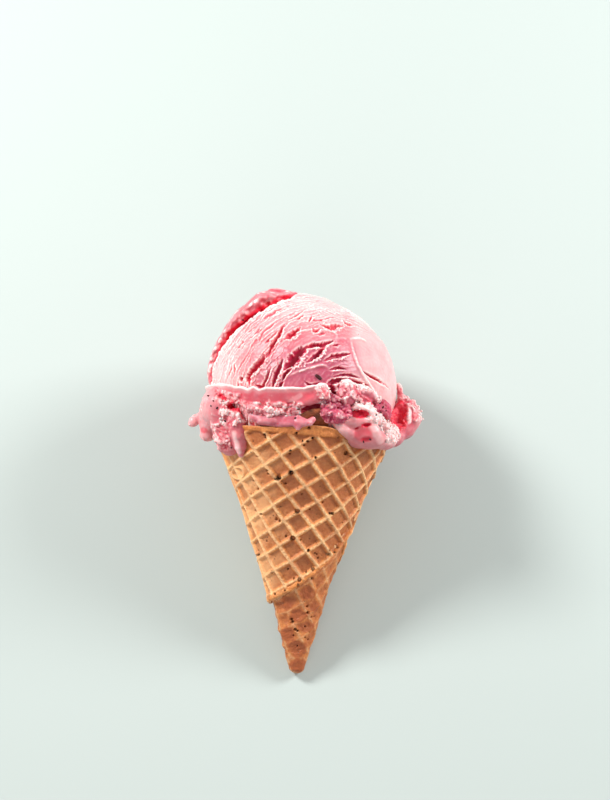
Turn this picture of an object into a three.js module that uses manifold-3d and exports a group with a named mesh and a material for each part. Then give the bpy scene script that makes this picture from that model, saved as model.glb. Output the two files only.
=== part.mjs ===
// A waffle cone with one scoop of strawberry ice cream, lying on its back. Millimetres, +Z up.
//
// The cone is built standing up in a frame of its own: x to the right, y up the cone's axis from the
// tip, z towards the shown side. At the end that frame is leant back by LEAN, so that the cone lies on
// its tip and on the flattened back of the ice cream, with the shown side up.
import * as THREE from "three";
import { mergeVertices } from "three/addons/utils/BufferGeometryUtils.js";
import Module from "manifold-3d";

const wasm = await Module();
wasm.setup();

const DEG = Math.PI / 180;

// ---- Driving dimensions: the wafer ----
const SLOPE = 0.333; // how much the cone's radius grows for each millimetre up the axis
const APEX_DROP = 6.75; // the point where its sides would meet, below the real, rounded tip
const TIP_R = 3.1;
const RIM_Y = 92.8;
const RIM_FLARE = 1.5; // the mouth opens a little beyond the straight cone
const FLARE_FROM_Y = 62;
const FLARE_TO_Y = 86;
const RIB_H = 1.15; // how far the ribs of the waffle stand over its pockets
const RIB_TOP_W = 1.9;
const RIB_FOOT_W = 3.1;
const RIM_BAND = 4.2; // the plain border along the sheet's rim
const WALL = 1.3; // what is left of the rolled sheet under the pockets
const LAP = 1.4; // the sheet's own step where one turn of it lies on the other
const COLUMNS = 30; // facets round the plain parts
const CELL_REACH = 5.5; // from the middle of a cell to its corner, and a little over
const HALVES_MEET = 0.46; // the share of the way round where the outer turn's two halves join
const TIP_PLAIN_Y = 6; // the tip has no pockets below this
const HOLLOW_FROM_Y = 22; // the inside is solid up to here
const HOLLOW_END_R = 3;
const WALL_THICKENS_Y = 60;
const GAP = 0.3; // between the wafer and the ice cream

// ---- Driving dimensions: the sheet's pattern, on the sheet rolled out flat ----
// Flat coordinates have the cone's apex at the origin and the shown side's middle line upwards.
const OUTER_GRID = { turn: 36.2, stepA: 7.4, stepB: 7.7, at: [6.57, 85.71] };
const TIP_GRID = { turn: 30, stepA: 7.2, stepB: 6.0, at: [7.8, 39.2] };
const EDGE_ROW = -4; // the outer turn's lower edge runs along this row of ribs

// ---- Driving dimensions: the ice cream ----
const BALL_R = 34.9;
const BALL_Y = 108.2;
const DRIP_A = -50; // the angle round the cone where the long drip runs
const BACK_LUMPS = 8;

// ---- How the cone lies ----
const LEAN = 20; // degrees, from lying flat to the cone's axis
const TIP_OVER_FLOOR = 1.89; // of the middle of the tip's end
const ORIGIN = { x: 0.6, y: 68.4 }; // under the middle of the whole, from the tip's end along the floor

const beta = Math.atan(SLOPE);
const sheetTurn = 360 * Math.sin(beta); // what one whole turn takes on the flat sheet, in degrees

const material = (color, roughness) =>
  new THREE.MeshStandardMaterial({ color, roughness, metalness: 0 });
const WAFER = material(0xd9995a, 0.75);
const STRAWBERRY = material(0xf0a3ae, 0.45);

// ---- Closed solids from rings of points ----

// A skin over rings that all have the same number of points. The ends are closed by fans, or the last
// ring joins the first. Each ring runs anticlockwise seen from where the rings go.
function skin(rings, joined = false) {
  const n = rings[0].length;
  const points = rings.flat();
  const faces = [];
  const bands = joined ? rings.length : rings.length - 1;
  for (let i = 0; i < bands; i++) {
    const a = i * n;
    const b = ((i + 1) % rings.length) * n;
    for (let j = 0; j < n; j++) {
      const k = (j + 1) % n;
      faces.push(a + j, a + k, b + k, a + j, b + k, b + j);
    }
  }
  if (!joined) {
    for (const [ring, first, turned] of [
      [rings[0], 0, true],
      [rings.at(-1), (rings.length - 1) * n, false],
    ]) {
      const middle = ring.reduce((sum, p) => sum.add(p), new THREE.Vector3()).divideScalar(n);
      const m = points.push(middle) - 1;
      for (let j = 0; j < n; j++) {
        const k = (j + 1) % n;
        faces.push(m, first + (turned ? k : j), first + (turned ? j : k));
      }
    }
  }
  const geometry = new THREE.BufferGeometry().setFromPoints(points);
  return geometry.setIndex(faces);
}

// A geometry as a solid for joining and cutting, always with its faces pointing out.
function solid(geometry) {
  const bare = geometry.clone();
  bare.deleteAttribute("normal");
  bare.deleteAttribute("uv");
  const merged = mergeVertices(bare, 1e-4);
  const make = (triVerts) =>
    new wasm.Manifold(
      new wasm.Mesh({ numProp: 3, vertProperties: merged.attributes.position.array, triVerts }),
    );
  // Triangles with no area are left out.
  const faces = [];
  for (let i = 0; i < merged.index.count; i += 3) {
    const [a, b, c] = merged.index.array.slice(i, i + 3);
    if (a !== b && b !== c && c !== a) faces.push([a, b, c]);
  }
  const made = make(new Uint32Array(faces.flat()));
  return made.volume() > 0 ? made : make(new Uint32Array(faces.map(([a, b, c]) => [a, c, b]).flat()));
}

const join = (solids) => wasm.Manifold.union(solids);

// The largest body of a solid, so that scraps left by a cut are dropped.
const whole = (made) => made.decompose().sort((a, b) => b.volume() - a.volume())[0];

function mesh(name, made, paint) {
  const found = made.getMesh();
  const geometry = new THREE.BufferGeometry()
    .setAttribute("position", new THREE.BufferAttribute(new Float32Array(found.vertProperties), 3))
    .setIndex(new THREE.BufferAttribute(new Uint32Array(found.triVerts), 1));
  geometry.computeVertexNormals();
  const object = new THREE.Mesh(geometry, paint);
  object.name = name;
  return object;
}

const smoothstep = (from, to, x) => {
  const t = Math.min(1, Math.max(0, (x - from) / (to - from)));
  return t * t * (3 - 2 * t);
};
const lerp = (a, b, t) => a + (b - a) * t;

// ---- The wafer ----

// The rib tops' radius at height y: a straight cone that flares a little at the mouth.
const outsideAt = (y) => SLOPE * (y + APEX_DROP) + RIM_FLARE * smoothstep(FLARE_FROM_Y, FLARE_TO_Y, y);
// The same for the turn that lies one layer deeper, which is the only one at the tip.
const underAt = (y) => outsideAt(y) - LAP * smoothstep(12, 32, y);
// The inside: it follows the outside, but below WALL_THICKENS_Y it narrows faster, to the hollow's bottom.
const wallAt = (y) => outsideAt(y) - LAP - RIB_H - WALL;
const hollowAt = (y) =>
  y > WALL_THICKENS_Y
    ? wallAt(y)
    : lerp(HOLLOW_END_R, wallAt(WALL_THICKENS_Y), (y - HOLLOW_FROM_Y) / (WALL_THICKENS_Y - HOLLOW_FROM_Y));
// A point on the cone at height y, radius r and angle a, in degrees to the right of the shown side.
const around = (r, y, a) => new THREE.Vector3(r * Math.sin(a * DEG), y, r * Math.cos(a * DEG));
// Height up the axis of a place on the sheet, from its distance to the apex along the cone's side.
const heightOf = (along) => along * Math.cos(beta) - APEX_DROP;

// The outer turn's lower edge is straight on the flat sheet, so it climbs round the cone. It starts and
// ends at the angle LAP_A, where the sheet begins to lie on itself, and from there its side edge goes to
// the rim.
const gridTurn = OUTER_GRID.turn * DEG;
const edgeDistance =
  OUTER_GRID.at[1] * Math.cos(gridTurn) - OUTER_GRID.at[0] * Math.sin(gridTurn) + EDGE_ROW * OUTER_GRID.stepB;
const edgeAlong = (a) => edgeDistance / Math.cos(a * Math.sin(beta) * DEG + gridTurn);
const LAP_A = (sheetTurn / 2 - OUTER_GRID.turn) / Math.sin(beta);
const LAP_CLIMB = 41; // how much further round the side edge reaches the rim
const edgeY = (share) => heightOf(edgeAlong(LAP_A - 360 * share));
const lapAngle = (up) => LAP_A + LAP_CLIMB * up;
const rimY = (a) => RIM_Y + 0.5 * Math.sin(2 * a * DEG + 0.6) + 0.35 * Math.sin(5 * a * DEG);

// A point over the outer turn: share is how far round from the lap, up runs from 0 at its lower edge
// to 1 at the rim, and radius gives the distance from the axis at a height.
function onTurn(share, up, lift, radius) {
  const a = lapAngle(up) - 360 * share;
  const y = lerp(edgeY(share), rimY(a), up) + lift;
  return around(radius(y, share, up), y, a);
}
const roundTurn = (up, lift, radius) =>
  Array.from({ length: COLUMNS }, (_, j) => onTurn(j / COLUMNS, up, lift, radius));

// The rib tops of the outer turn. It goes down by one layer on its way round, so that at share 1 it
// lies under its own beginning.
const outerAt = (y, share, up) => outsideAt(y) - LAP * share * up;
// Where on the outer turn a height and an angle lie.
function placeOn(y, a) {
  const low = heightOf(edgeAlong(Math.min(a, LAP_A)));
  const up = Math.min(1, Math.max(0, (y - low) / (rimY(a) - low)));
  return { share: (lapAngle(up) - a) / 360, up };
}

// A slab of waffle wrapped on the cone. Each cell of the square grid is a pocket with sloping sides and
// half of each rib round it. wanted() picks the cells, radiusAt(y, a) is the rib tops' radius, and
// bottomAt(y) is the slab's own inside.
function waffle(grid, ribH, wanted, radiusAt, bottomAt) {
  const turn = grid.turn * DEG;
  const axisA = [Math.cos(turn), Math.sin(turn)];
  const axisB = [-axisA[1], axisA[0]];
  const place = (i, j) => {
    const x = grid.at[0] + axisA[0] * i * grid.stepA + axisB[0] * j * grid.stepB;
    const up = grid.at[1] + axisA[1] * i * grid.stepA + axisB[1] * j * grid.stepB;
    const along = Math.hypot(x, up);
    return { i, j, along, a: Math.atan2(x, up) / Math.sin(beta) / DEG, y: heightOf(along) };
  };
  const point = (i, j, depth) => {
    const { y, a } = place(i, j);
    const r = depth === null ? bottomAt(y) : radiusAt(y, a) - depth * Math.cos(beta);
    return around(r, y + (depth ?? 0) * Math.sin(beta), a);
  };
  const cells = new Set();
  const span = 24;
  for (let i = -span; i < span; i++) {
    for (let j = -span; j < span; j++) if (wanted(place(i + 0.5, j + 0.5))) cells.add(i + "," + j);
  }
  const points = [];
  const quad = (a, b, c, d) => points.push(a, b, c, a, c, d);
  const corners = [[0, 0], [1, 0], [1, 1], [0, 1]];
  for (const cell of cells) {
    const [i, j] = cell.split(",").map(Number);
    const square = (ribWidth, depth) => {
      const p = ribWidth / 2 / grid.stepA;
      const q = ribWidth / 2 / grid.stepB;
      return corners.map(([m, n]) => point(i + (m ? 1 - p : p), j + (n ? 1 - q : q), depth));
    };
    const levels = [square(0, 0), square(RIB_TOP_W, 0), square(RIB_FOOT_W, ribH)];
    const under = square(0, null);
    for (let k = 0; k < 4; k++) {
      const l = (k + 1) % 4;
      for (let m = 0; m < 2; m++) quad(levels[m][k], levels[m][l], levels[m + 1][l], levels[m + 1][k]);
      const beside = [[i, j - 1], [i + 1, j], [i, j + 1], [i - 1, j]][k];
      if (!cells.has(beside.join(","))) quad(under[k], under[l], levels[0][l], levels[0][k]);
    }
    quad(...levels[2]);
    quad(...under.reverse());
  }
  return solid(new THREE.BufferGeometry().setFromPoints(points));
}

// The outer turn, in two halves that fit together, because a slab can't cross itself at the lap.
function outerTurn() {
  const radiusAt = (y, a) => {
    const { share, up } = placeOn(y, a);
    return outerAt(y, share, up);
  };
  const bottomAt = (y) => wallAt(y) + 0.3 * WALL;
  const half = (from, to) => {
    const wanted = ({ j, a, y }) => {
      const { share } = placeOn(y, a);
      return j > EDGE_ROW && y < rimY(a) - RIM_BAND + CELL_REACH && share > from && share < to;
    };
    return waffle(OUTER_GRID, RIB_H, wanted, radiusAt, bottomAt);
  };
  // What lies before the sheet's side edge is cut off, and so is what lies in the border's place.
  const first = half(-0.06, HALVES_MEET);
  const lapBlock = [[0, -4], [0, 4], [-0.09, 4], [-0.09, -4]];
  const beforeLap = [-0.25, 0.5, 1.2].map((up) =>
    lapBlock.map(([share, out]) => onTurn(share, up, 0, (y) => outsideAt(y) + out)),
  );
  const ring = (lift, out) => roundTurn(1, lift, (y) => outsideAt(y) + out);
  const low = 0.5 - RIM_BAND;
  const borderRoom = solid(skin([ring(low, -9), ring(low, 5), ring(9, 5), ring(9, -9)], true));
  const sheet = join([first.subtract(solid(skin(beforeLap))), half(HALVES_MEET, 1)]).subtract(borderRoom);
  // The plain border along the rim.
  const border = (lift, out) => roundTurn(1, lift, (y, share) => outerAt(y, share, 1) + out);
  const inside = (lift) => roundTurn(1, lift, bottomAt);
  const edge = [border(-RIM_BAND, 0.15), border(-0.5, 0.15), border(0, -0.4), inside(0), inside(-RIM_BAND)];
  return join([sheet, solid(skin(edge, true))]);
}

// The one turn that shows at the tip, below the outer turn's edge, also in two halves.
function tipTurn() {
  const ribH = 0.75 * RIB_H;
  const bottomAt = (y) => underAt(y) - ribH - 1.4;
  const half = (from, to) => {
    const wanted = ({ along, a, y }) => {
      const edge = edgeAlong(a > LAP_A ? a - 360 : a);
      return a > from && a <= to && y > TIP_PLAIN_Y && along < edge + 0.3 * CELL_REACH;
    };
    return waffle(TIP_GRID, ribH, wanted, underAt, bottomAt);
  };
  return join([half(-180, 0), half(0, 180)]);
}

// The wall that everything lies on, from the closed, rounded tip to the rim.
function innerWall() {
  // heightAt is a height, or a function of the share and the angle.
  const ring = (heightAt, radius) =>
    Array.from({ length: COLUMNS }, (_, j) => {
      const share = j / COLUMNS;
      const a = LAP_A - 360 * share;
      const y = typeof heightAt === "number" ? heightAt : heightAt(share, a);
      return around(radius(y), y, a);
    });
  const cap = [15, 38, 62].map((a) => ring(TIP_R * (1 - Math.cos(a * DEG)), () => TIP_R * Math.sin(a * DEG)));
  const core = (y) => underAt(y) - 0.75 * RIB_H - 1;
  const covered = (y) => wallAt(y) + 0.75 * WALL;
  const top = (share, a) => rimY(a) - 0.8;
  return solid(
    skin([
      ...cap,
      ring(4, underAt),
      ring(TIP_PLAIN_Y + 0.2, underAt),
      ring(14, core),
      ring((share) => edgeY(share) + 2, core),
      ring((share) => edgeY(share) + 3, covered),
      ring(FLARE_TO_Y, covered),
      ring(top, covered),
      ring(top, hollowAt),
      ring(FLARE_TO_Y, hollowAt),
      ring(WALL_THICKENS_Y, hollowAt),
      ring(HOLLOW_FROM_Y, hollowAt),
    ]),
  );
}

// The sheet's own beginning, which stands up inside the mouth where the ice cream leaves a gap. grown
// makes it bigger all round, for the room that the ice cream leaves.
function innerLip(grown = 0) {
  const low = RIM_Y - 4;
  const high = hollowAt(RIM_Y);
  const spread = grown / 0.5;
  return solid(
    skin(
      [-2 - spread, 3, 8, 13, 18, 24 + spread].map((a, i) => {
        const top = RIM_Y + 6.2 - 0.55 * (i - 2.5) ** 2 + grown;
        return [
          around(hollowAt(low) + 0.9 + grown, low, a),
          around(hollowAt(low) + 0.1 - grown, low, a),
          around(high - 0.6 - grown, top, a),
          around(high + 1.1 + grown, top, a),
        ];
      }),
    ),
  );
}

// ---- The ice cream ----

// A gentle unevenness, the same every time: a few waves that cross each other.
const wave = (p, size, seed) =>
  (Math.sin(p.x / size + 1.7 * seed) * Math.sin(p.y / size + 2.3 * seed + 0.8) +
    Math.sin(p.y / size - p.z / size + 0.9 * seed) * Math.cos(p.x / size + 0.4 * p.z / size + seed)) /
  2;
const WAVE_SIZE = 2.6;

// A lump: an ellipsoid with an uneven surface. turn is in degrees, about the axis towards the shown
// side, and detail is how finely its facets are split.
function lump([x, y, z], [rx, ry, rz], { rough = 0.8, detail = 2, turn = 0, seed = 1 } = {}) {
  const geometry = new THREE.IcosahedronGeometry(1, detail);
  const place = geometry.attributes.position;
  const p = new THREE.Vector3();
  for (let i = 0; i < place.count; i++) {
    p.fromBufferAttribute(place, i);
    const out = p.clone();
    p.multiply(new THREE.Vector3(rx, ry, rz));
    p.addScaledVector(out, rough * wave(p, WAVE_SIZE, seed));
    p.applyAxisAngle(new THREE.Vector3(0, 0, 1), turn * DEG).add(new THREE.Vector3(x, y, z));
    place.setXYZ(i, p.x, p.y, p.z);
  }
  return solid(geometry);
}

// A smooth path over the ball through places given as [x, y] in the front view, lifted off its surface.
function overBall(places, lift) {
  const points = places.map(([x, y]) => {
    const flat = Math.hypot(x, y - BALL_Y);
    const z = Math.sqrt(Math.max(0, BALL_R ** 2 - flat ** 2));
    const out = new THREE.Vector3(x, y - BALL_Y, z).setLength(BALL_R + lift);
    return out.add(new THREE.Vector3(0, BALL_Y, 0));
  });
  return new THREE.CatmullRomCurve3(points);
}

// A strand along a path: an oval section, thick away from the ball and wide along it, that narrows to
// blunt of its size at the ends. It serves both as a fold of ice cream and, taken away from the ball, as
// a torn groove.
function strand(path, steps, thick, wide, blunt, sides = 6) {
  const rings = Array.from({ length: steps + 1 }, (_, i) => {
    const at = path.getPointAt(i / steps);
    const ahead = path.getTangentAt(i / steps);
    const out = at.clone().sub(new THREE.Vector3(0, BALL_Y, 0)).normalize();
    const across = new THREE.Vector3().crossVectors(ahead, out).normalize();
    const full = blunt + (1 - blunt) * Math.sqrt(Math.sin((Math.PI * i) / steps) + 1e-9);
    return Array.from({ length: sides }, (_, j) => {
      const c = (2 * Math.PI * j) / sides;
      const outBy = (Math.sin(c) * thick * full) / 2;
      const acrossBy = (Math.cos(c) * wide * full) / 2;
      return at.clone().addScaledVector(out, outBy).addScaledVector(across, acrossBy);
    });
  });
  return solid(skin(rings));
}

// The deepest torn grooves of the shown side: places in the front view, then width and depth. The first
// one parts the fold at the upper left from the ball.
const FOLD_GAP = [[-33.9, 112], [-32.8, 118.3], [-23.3, 131.1], [-15.9, 137.4], [-7.7, 140.4]];
const GROOVES = [
  { over: FOLD_GAP, wide: 3.2, deep: 4.6 },
  { over: [[-13.6, 119.4], [-10.9, 123.2], [-8.1, 128.2], [-6.3, 132.6], [-1, 136.4]], wide: 2.4, deep: 2 },
  { over: [[-6.8, 109.4], [-5.8, 115.2], [-2.6, 119.6], [2.1, 122.8], [9.6, 125]], wide: 4, deep: 3.6 },
  { over: [[1.4, 117.8], [4, 120.4], [7.4, 122.8]], wide: 2.6, deep: 2.2 },
  { over: [[7.4, 118.6], [11.6, 120.2], [17, 120.4]], wide: 2.4, deep: 2.2 },
  { over: [[-19, 109.6], [-16.6, 113.6], [-14, 119.2]], wide: 3, deep: 2.4 },
  { over: [[-11.6, 107.8], [-9.4, 112.6], [-7.4, 119.6]], wide: 2.4, deep: 2.4 },
  { over: [[9.6, 112.6], [17.8, 112], [21.6, 110.6]], wide: 1.8, deep: 1.8 },
  { over: [[21.2, 114.6], [26.4, 112.2], [30.6, 108.8]], wide: 1.8, deep: 1.8 },
];

function scoopedBall() {
  const geometry = new THREE.SphereGeometry(BALL_R, 32, 20);
  const place = geometry.attributes.position;
  const p = new THREE.Vector3();
  for (let i = 0; i < place.count; i++) {
    p.fromBufferAttribute(place, i);
    p.setLength(BALL_R + 0.35 * wave(p, 7, 3));
    place.setXYZ(i, p.x, p.y + BALL_Y, p.z);
  }
  const cuts = GROOVES.map(({ over, wide, deep }) =>
    strand(overBall(over, 0), over.length + 2, 2 * deep, wide, 0.25),
  );
  return solid(geometry).subtract(join(cuts));
}

// The folds that the scoop turned up: one that curls over the ball's upper left, and the ledge along
// its front.
function folds() {
  const left = [
    [-35.6, 106],
    [-35.8, 114],
    [-33, 123.6],
    [-27.6, 131.6],
    [-21.4, 137.4],
    [-14.4, 141.4],
    [-6.6, 143.2],
    [-1, 143.6],
  ];
  const ledge = [[-33.4, 105.8], [-26, 104.8], [-17.6, 103.6], [-8, 103.6], [2, 104.2], [9, 105.6]];
  return [
    strand(overBall(left, 1.4), 16, 5, 13, 0.5, 8).translate([0, 0, 2.6]),
    lump([-14.6, 140.4, 4], [7.4, 3.4, 4.6], { turn: 24, rough: 0.5, seed: 2 }),
    strand(overBall(ledge, 0.6), 12, 5, 6.8, 0.5, 8),
  ];
}

// The collar of softer ice cream that was pressed out over the rim: first the left, then the front, the
// right, and the back, where the lumps go round by a rule.
function collar() {
  const shown = [
    lump([-27.4, 98.6, 15.6], [8.6, 9.4, 8.4], { rough: 1.3, detail: 3, seed: 4 }),
    lump([-27.6, 88.8, 16.2], [5.4, 8.4, 5.6], { rough: 1, seed: 5, turn: 16 }),
    lump([-35.2, 96, 3], [5, 9, 8], { rough: 0.9, seed: 6, turn: 10 }),
    lump([-34.4, 90.2, 4.4], [3.9, 3.7, 3.9], { rough: 0.2, seed: 7 }),
    lump([-13, 98, 28.4], [10.6, 5.8, 5], { rough: 1.2, detail: 3, seed: 8 }),
    lump([-4, 95.8, 30.6], [9, 3.4, 3.6], { rough: 0.5, seed: 9 }),
    lump([18.4, 104.8, 26.4], [8, 5, 5.2], { rough: 1.2, seed: 10, turn: -18 }),
    lump([15.6, 96.6, 28], [7.4, 4, 4.4], { rough: 1, seed: 11 }),
    lump([23.4, 92.8, 22.6], [11.6, 7.4, 8.4], { rough: 0.9, detail: 3, seed: 12, turn: -18 }),
    lump([26.2, 100.6, 18.4], [7, 6, 7], { rough: 0.9, seed: 13 }),
    lump([37, 97.4, -4.6], [7, 9.6, 10.4], { rough: 1.2, detail: 3, seed: 14, turn: -14 }),
    lump([34.6, 92.6, 3], [5, 6.4, 8], { rough: 0.8, seed: 15 }),
  ];
  const back = Array.from({ length: BACK_LUMPS }, (_, i) => {
    const a = lerp(104, 262, i / (BACK_LUMPS - 1));
    const swell = 0.5 + 0.5 * Math.sin(2.4 * i - 0.55);
    const at = around(31 + 1.2 * swell, 93.4 + 1.6 * Math.cos(1.9 * i), a);
    return lump(at.toArray(), [5.6 + 1.4 * swell, 5.6 + 1.8 * swell, 5.6], { rough: 1, seed: 20 + i });
  });
  return [...shown, ...back];
}

// One long drip down the wafer, as rounds of [height, radius], and a small drop off the left.
function drips() {
  const rounds = [[95, 4.6], [91, 4.2], [87, 3.5], [84, 2.9], [82, 2.1], [81, 0.9]];
  const sides = 8;
  const drip = rounds.map(([y, r]) => {
    const middle = around(outsideAt(y) + 1.2, y, DRIP_A);
    return Array.from({ length: sides }, (_, j) => around(r, 0, (360 * j) / sides).add(middle));
  });
  return [
    solid(skin(drip)),
    lump([-40.6, 93.4, 2], [2.5, 2.5, 2.4], { rough: 0.15 }),
    lump([-38, 94.6, 2], [3, 1.6, 1.8], { rough: 0.2, turn: -15 }),
  ];
}

// What was pressed into the cone's mouth, down to the bottom of the hollow.
function plug() {
  const heights = [HOLLOW_FROM_Y + GAP, WALL_THICKENS_Y, FLARE_TO_Y, RIM_Y + 2];
  return solid(
    skin(
      heights.map((y) =>
        Array.from({ length: COLUMNS }, (_, j) => around(hollowAt(y) - 1.5 * GAP, y, (360 * j) / COLUMNS)),
      ),
    ),
  );
}

// The rolled wall of the wafer with GAP all round it, as one plain ring.
function roomForWafer() {
  const outer = (y) => outsideAt(y) + 1.5 * GAP;
  const inner = (y) => hollowAt(y) - 1.5 * GAP;
  const round = (radius, heightAt) =>
    Array.from({ length: COLUMNS }, (_, j) => {
      const a = (360 * j) / COLUMNS;
      return around(radius(heightAt(a)), heightAt(a), a);
    });
  const top = (a) => rimY(a) + GAP;
  const heights = [() => 60, () => FLARE_TO_Y, top];
  return solid(
    skin([...heights.map((h) => round(outer, h)), ...heights.reverse().map((h) => round(inner, h))], true),
  );
}

function iceCream() {
  // The gap at the front where the wafer's inner lip shows, the hole in the left side and the crease
  // between the ledge and the lumps to its right.
  const gap = lump([5, 97.2, 33.4], [5.4, 2.8, 5.4], { rough: 0.6, turn: 8 });
  const hole = lump([-24.8, 98.4, 25.6], [2.6, 1.9, 4], { rough: 0.2 });
  const crease = strand(overBall([[9.4, 107.4], [12, 103], [14, 98.8]], 0.6), 8, 6, 2.4, 0.25);
  const mass = join([scoopedBall(), ...folds(), ...collar(), ...drips()]);
  const shaped = mass.subtract(join([gap, hole, crease, roomForWafer()]));
  return join([shaped, plug()]).subtract(innerLip(GAP));
}

// ---- The whole, laid down ----

// Everything under the floor, in the frame of the standing cone: it cuts the flat spots that the part
// rests on.
function underFloor() {
  const deep = 60;
  const box = new THREE.BoxGeometry(300, 400, deep);
  box.translate(0, 0, -deep / 2 - TIP_OVER_FLOOR);
  box.applyMatrix4(new THREE.Matrix4().makeRotationX(-LEAN * DEG));
  return solid(box);
}

const floor = underFloor();
const wafer = join([outerTurn(), tipTurn(), innerWall(), innerLip()]);
const part = new THREE.Group();
part.add(mesh("waffle_cone", whole(wafer.subtract(floor)), WAFER));
part.add(mesh("ice_cream", whole(iceCream().subtract(floor)), STRAWBERRY));
part.rotation.x = LEAN * DEG;
part.position.set(-ORIGIN.x, -ORIGIN.y, TIP_OVER_FLOOR);

export default part;
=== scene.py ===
# %% [markdown]
# # A waffle cone with one scoop of strawberry ice cream
#
# The cone lies on its back. It rests on the tip of the wafer and on the flattened back of the ice cream,
# with the shown side up, and the camera looks down at it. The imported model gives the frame: every surface
# below stands for one of its two solids, the wafer or the ice cream, and keeps that solid's form and place.
#
# Both are foods that no lathe or mould shapes exactly, so each surface is a plain form first (a cone, a
# ball, an egg-shaped lump, a rounded strip) and gets its own relief afterwards: ribs and pores on the
# wafer, and torn grooves, ridges and grains on the ice cream.

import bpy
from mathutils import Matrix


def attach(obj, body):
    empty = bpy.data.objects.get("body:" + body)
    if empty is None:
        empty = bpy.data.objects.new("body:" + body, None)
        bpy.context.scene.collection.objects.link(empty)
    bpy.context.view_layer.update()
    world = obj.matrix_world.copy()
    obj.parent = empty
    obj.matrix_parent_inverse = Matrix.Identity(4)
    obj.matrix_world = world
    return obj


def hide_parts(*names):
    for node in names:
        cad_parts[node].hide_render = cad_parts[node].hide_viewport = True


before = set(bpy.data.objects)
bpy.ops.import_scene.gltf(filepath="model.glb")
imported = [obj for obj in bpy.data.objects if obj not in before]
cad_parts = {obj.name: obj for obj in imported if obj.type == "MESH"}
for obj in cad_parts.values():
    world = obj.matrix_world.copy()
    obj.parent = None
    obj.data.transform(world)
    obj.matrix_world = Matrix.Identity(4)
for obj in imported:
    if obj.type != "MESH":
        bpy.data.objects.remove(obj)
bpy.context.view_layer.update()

# %% [markdown]
# Shapes are worked out as whole arrays of points with numpy, and Blender takes them as meshes.

# %% Tools
import itertools
import math

import bpy
import numpy as np
from mathutils import Matrix, Vector

WAFER_NODE, ICE_NODE = "waffle_cone", "ice_cream"

# %% [markdown]
# ## The cone's own frame
#
# It is easier to shape a cone standing up: x goes to the right, y up the axis from the tip, z towards the
# shown side, all in millimetres. `lay_down` leans that frame back and puts it on the floor. Whatever would
# reach under the floor is pressed flat against it, as a soft scoop and a wafer's tip are when they are
# laid down.

# %% Lay the standing cone down
LEAN = math.radians(20)
FLOOR_SHIFT = np.array([-0.6, -68.4, 1.89])
METRE = 0.001


def lean_back(v):
    """Turns directions about the x axis by LEAN: y goes back and down, z comes up."""
    x, y, z = np.moveaxis(np.asarray(v, float), -1, 0)
    c, s = math.cos(LEAN), math.sin(LEAN)
    return np.stack([x, y * c - z * s, y * s + z * c], -1)


def lay_down(points):
    """From the standing cone's millimetres to the frame's metres, with nothing under the floor."""
    laid = lean_back(points) + FLOOR_SHIFT
    laid[..., 2] = np.maximum(laid[..., 2], 0)
    return laid * METRE


# %% [markdown]
# ## The camera
#
# The camera stands far from the cone and looks straight along its z axis, so it looks down at the floor
# at 70 degrees. It is turned by a degree or so, so that the cone stands a little askew.

# %% Camera
VIEW_AT, VIEW_DISTANCE = [0.675, 102.56, 0], 900
ASKEW = math.radians(1.4)
LENS = 108

camera = bpy.data.objects.new("camera", bpy.data.cameras.new("camera"))
bpy.context.scene.collection.objects.link(camera)
bpy.context.scene.camera = camera
camera.data.lens = LENS
back = Vector(lean_back([0, 0, 1]))
upward = Vector(lean_back([-math.sin(ASKEW), math.cos(ASKEW), 0]))
turned = Matrix((upward.cross(back), upward, back)).transposed().to_4x4()
camera.matrix_world = Matrix.Translation(lay_down(np.add(VIEW_AT, [0, 0, VIEW_DISTANCE]))) @ turned
print("camera at", [round(c, 3) for c in camera.location])

# %% [markdown]
# ## Noise
#
# Nothing in food is even. Two kinds of chance serve here. `noise` is soft: it takes a random slope at each
# corner of a cubic lattice and blends between them, so it drifts up and down over a known distance.
# `grain` is crisp: it measures how far each place is from the nearest of one random dot per cube, so it
# makes rounded grains with creases between them. Both come from one seeded table, so every run is alike.

# %% Noise from a seeded table
rng = np.random.default_rng(11)
TABLE_SIZE, SEED_STRIDE, NOISE_GAIN = 1024, 37, 1.6
SHUFFLED = rng.permutation(TABLE_SIZE)
DOTS = rng.random((TABLE_SIZE, 3))
SLOPES = rng.normal(size=(TABLE_SIZE, 3))
SLOPES /= np.linalg.norm(SLOPES, axis=1, keepdims=True)


def table_row(cell, seed):
    """Mixes a cell's three whole numbers and the seed into one row number of the tables."""
    row = SHUFFLED[(cell[..., 0] + SEED_STRIDE * seed) % TABLE_SIZE]
    row = SHUFFLED[(row + cell[..., 1]) % TABLE_SIZE]
    return SHUFFLED[(row + cell[..., 2]) % TABLE_SIZE]


def noise(points, size, seed=0):
    """Soft noise, about -1 to 1: at each corner of the cube round a point, slope times offset, blended."""
    q = points / size
    cell = np.floor(q).astype(int)
    f = q - cell
    ease = f**3 * (f * (f * 6 - 15) + 10)
    total = np.zeros(q.shape[:-1])
    for corner in itertools.product((0, 1), repeat=3):
        share = np.prod(np.where(corner, ease, 1 - ease), axis=-1)
        slope = SLOPES[table_row(cell + corner, seed)]
        total += share * ((f - corner) * slope).sum(-1)
    return total * NOISE_GAIN


def uneven(points, *layers):
    """A sum of soft noises, each given as its height, its size and its seed."""
    return sum(high * noise(points, size, seed) for high, size, seed in layers)


def grain(points, size, seed=0):
    """Crisp grains: 1 at a grain's middle, less the distance from it, so about 0 where grains meet."""
    q = points / size
    cell = np.floor(q).astype(int)
    nearest = np.full(q.shape[:-1], 9.0)
    for beside in itertools.product((-1, 0, 1), repeat=3):
        dot = cell + beside + DOTS[table_row(cell + beside, seed)]
        nearest = np.minimum(nearest, ((dot - q) ** 2).sum(-1))
    return 1 - np.sqrt(nearest)


# %% [markdown]
# Most shares below come from two curves. `ease_step` climbs from 0 to 1 in an S, and `hill` rises to 1 in
# the middle and falls away on both sides.

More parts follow.
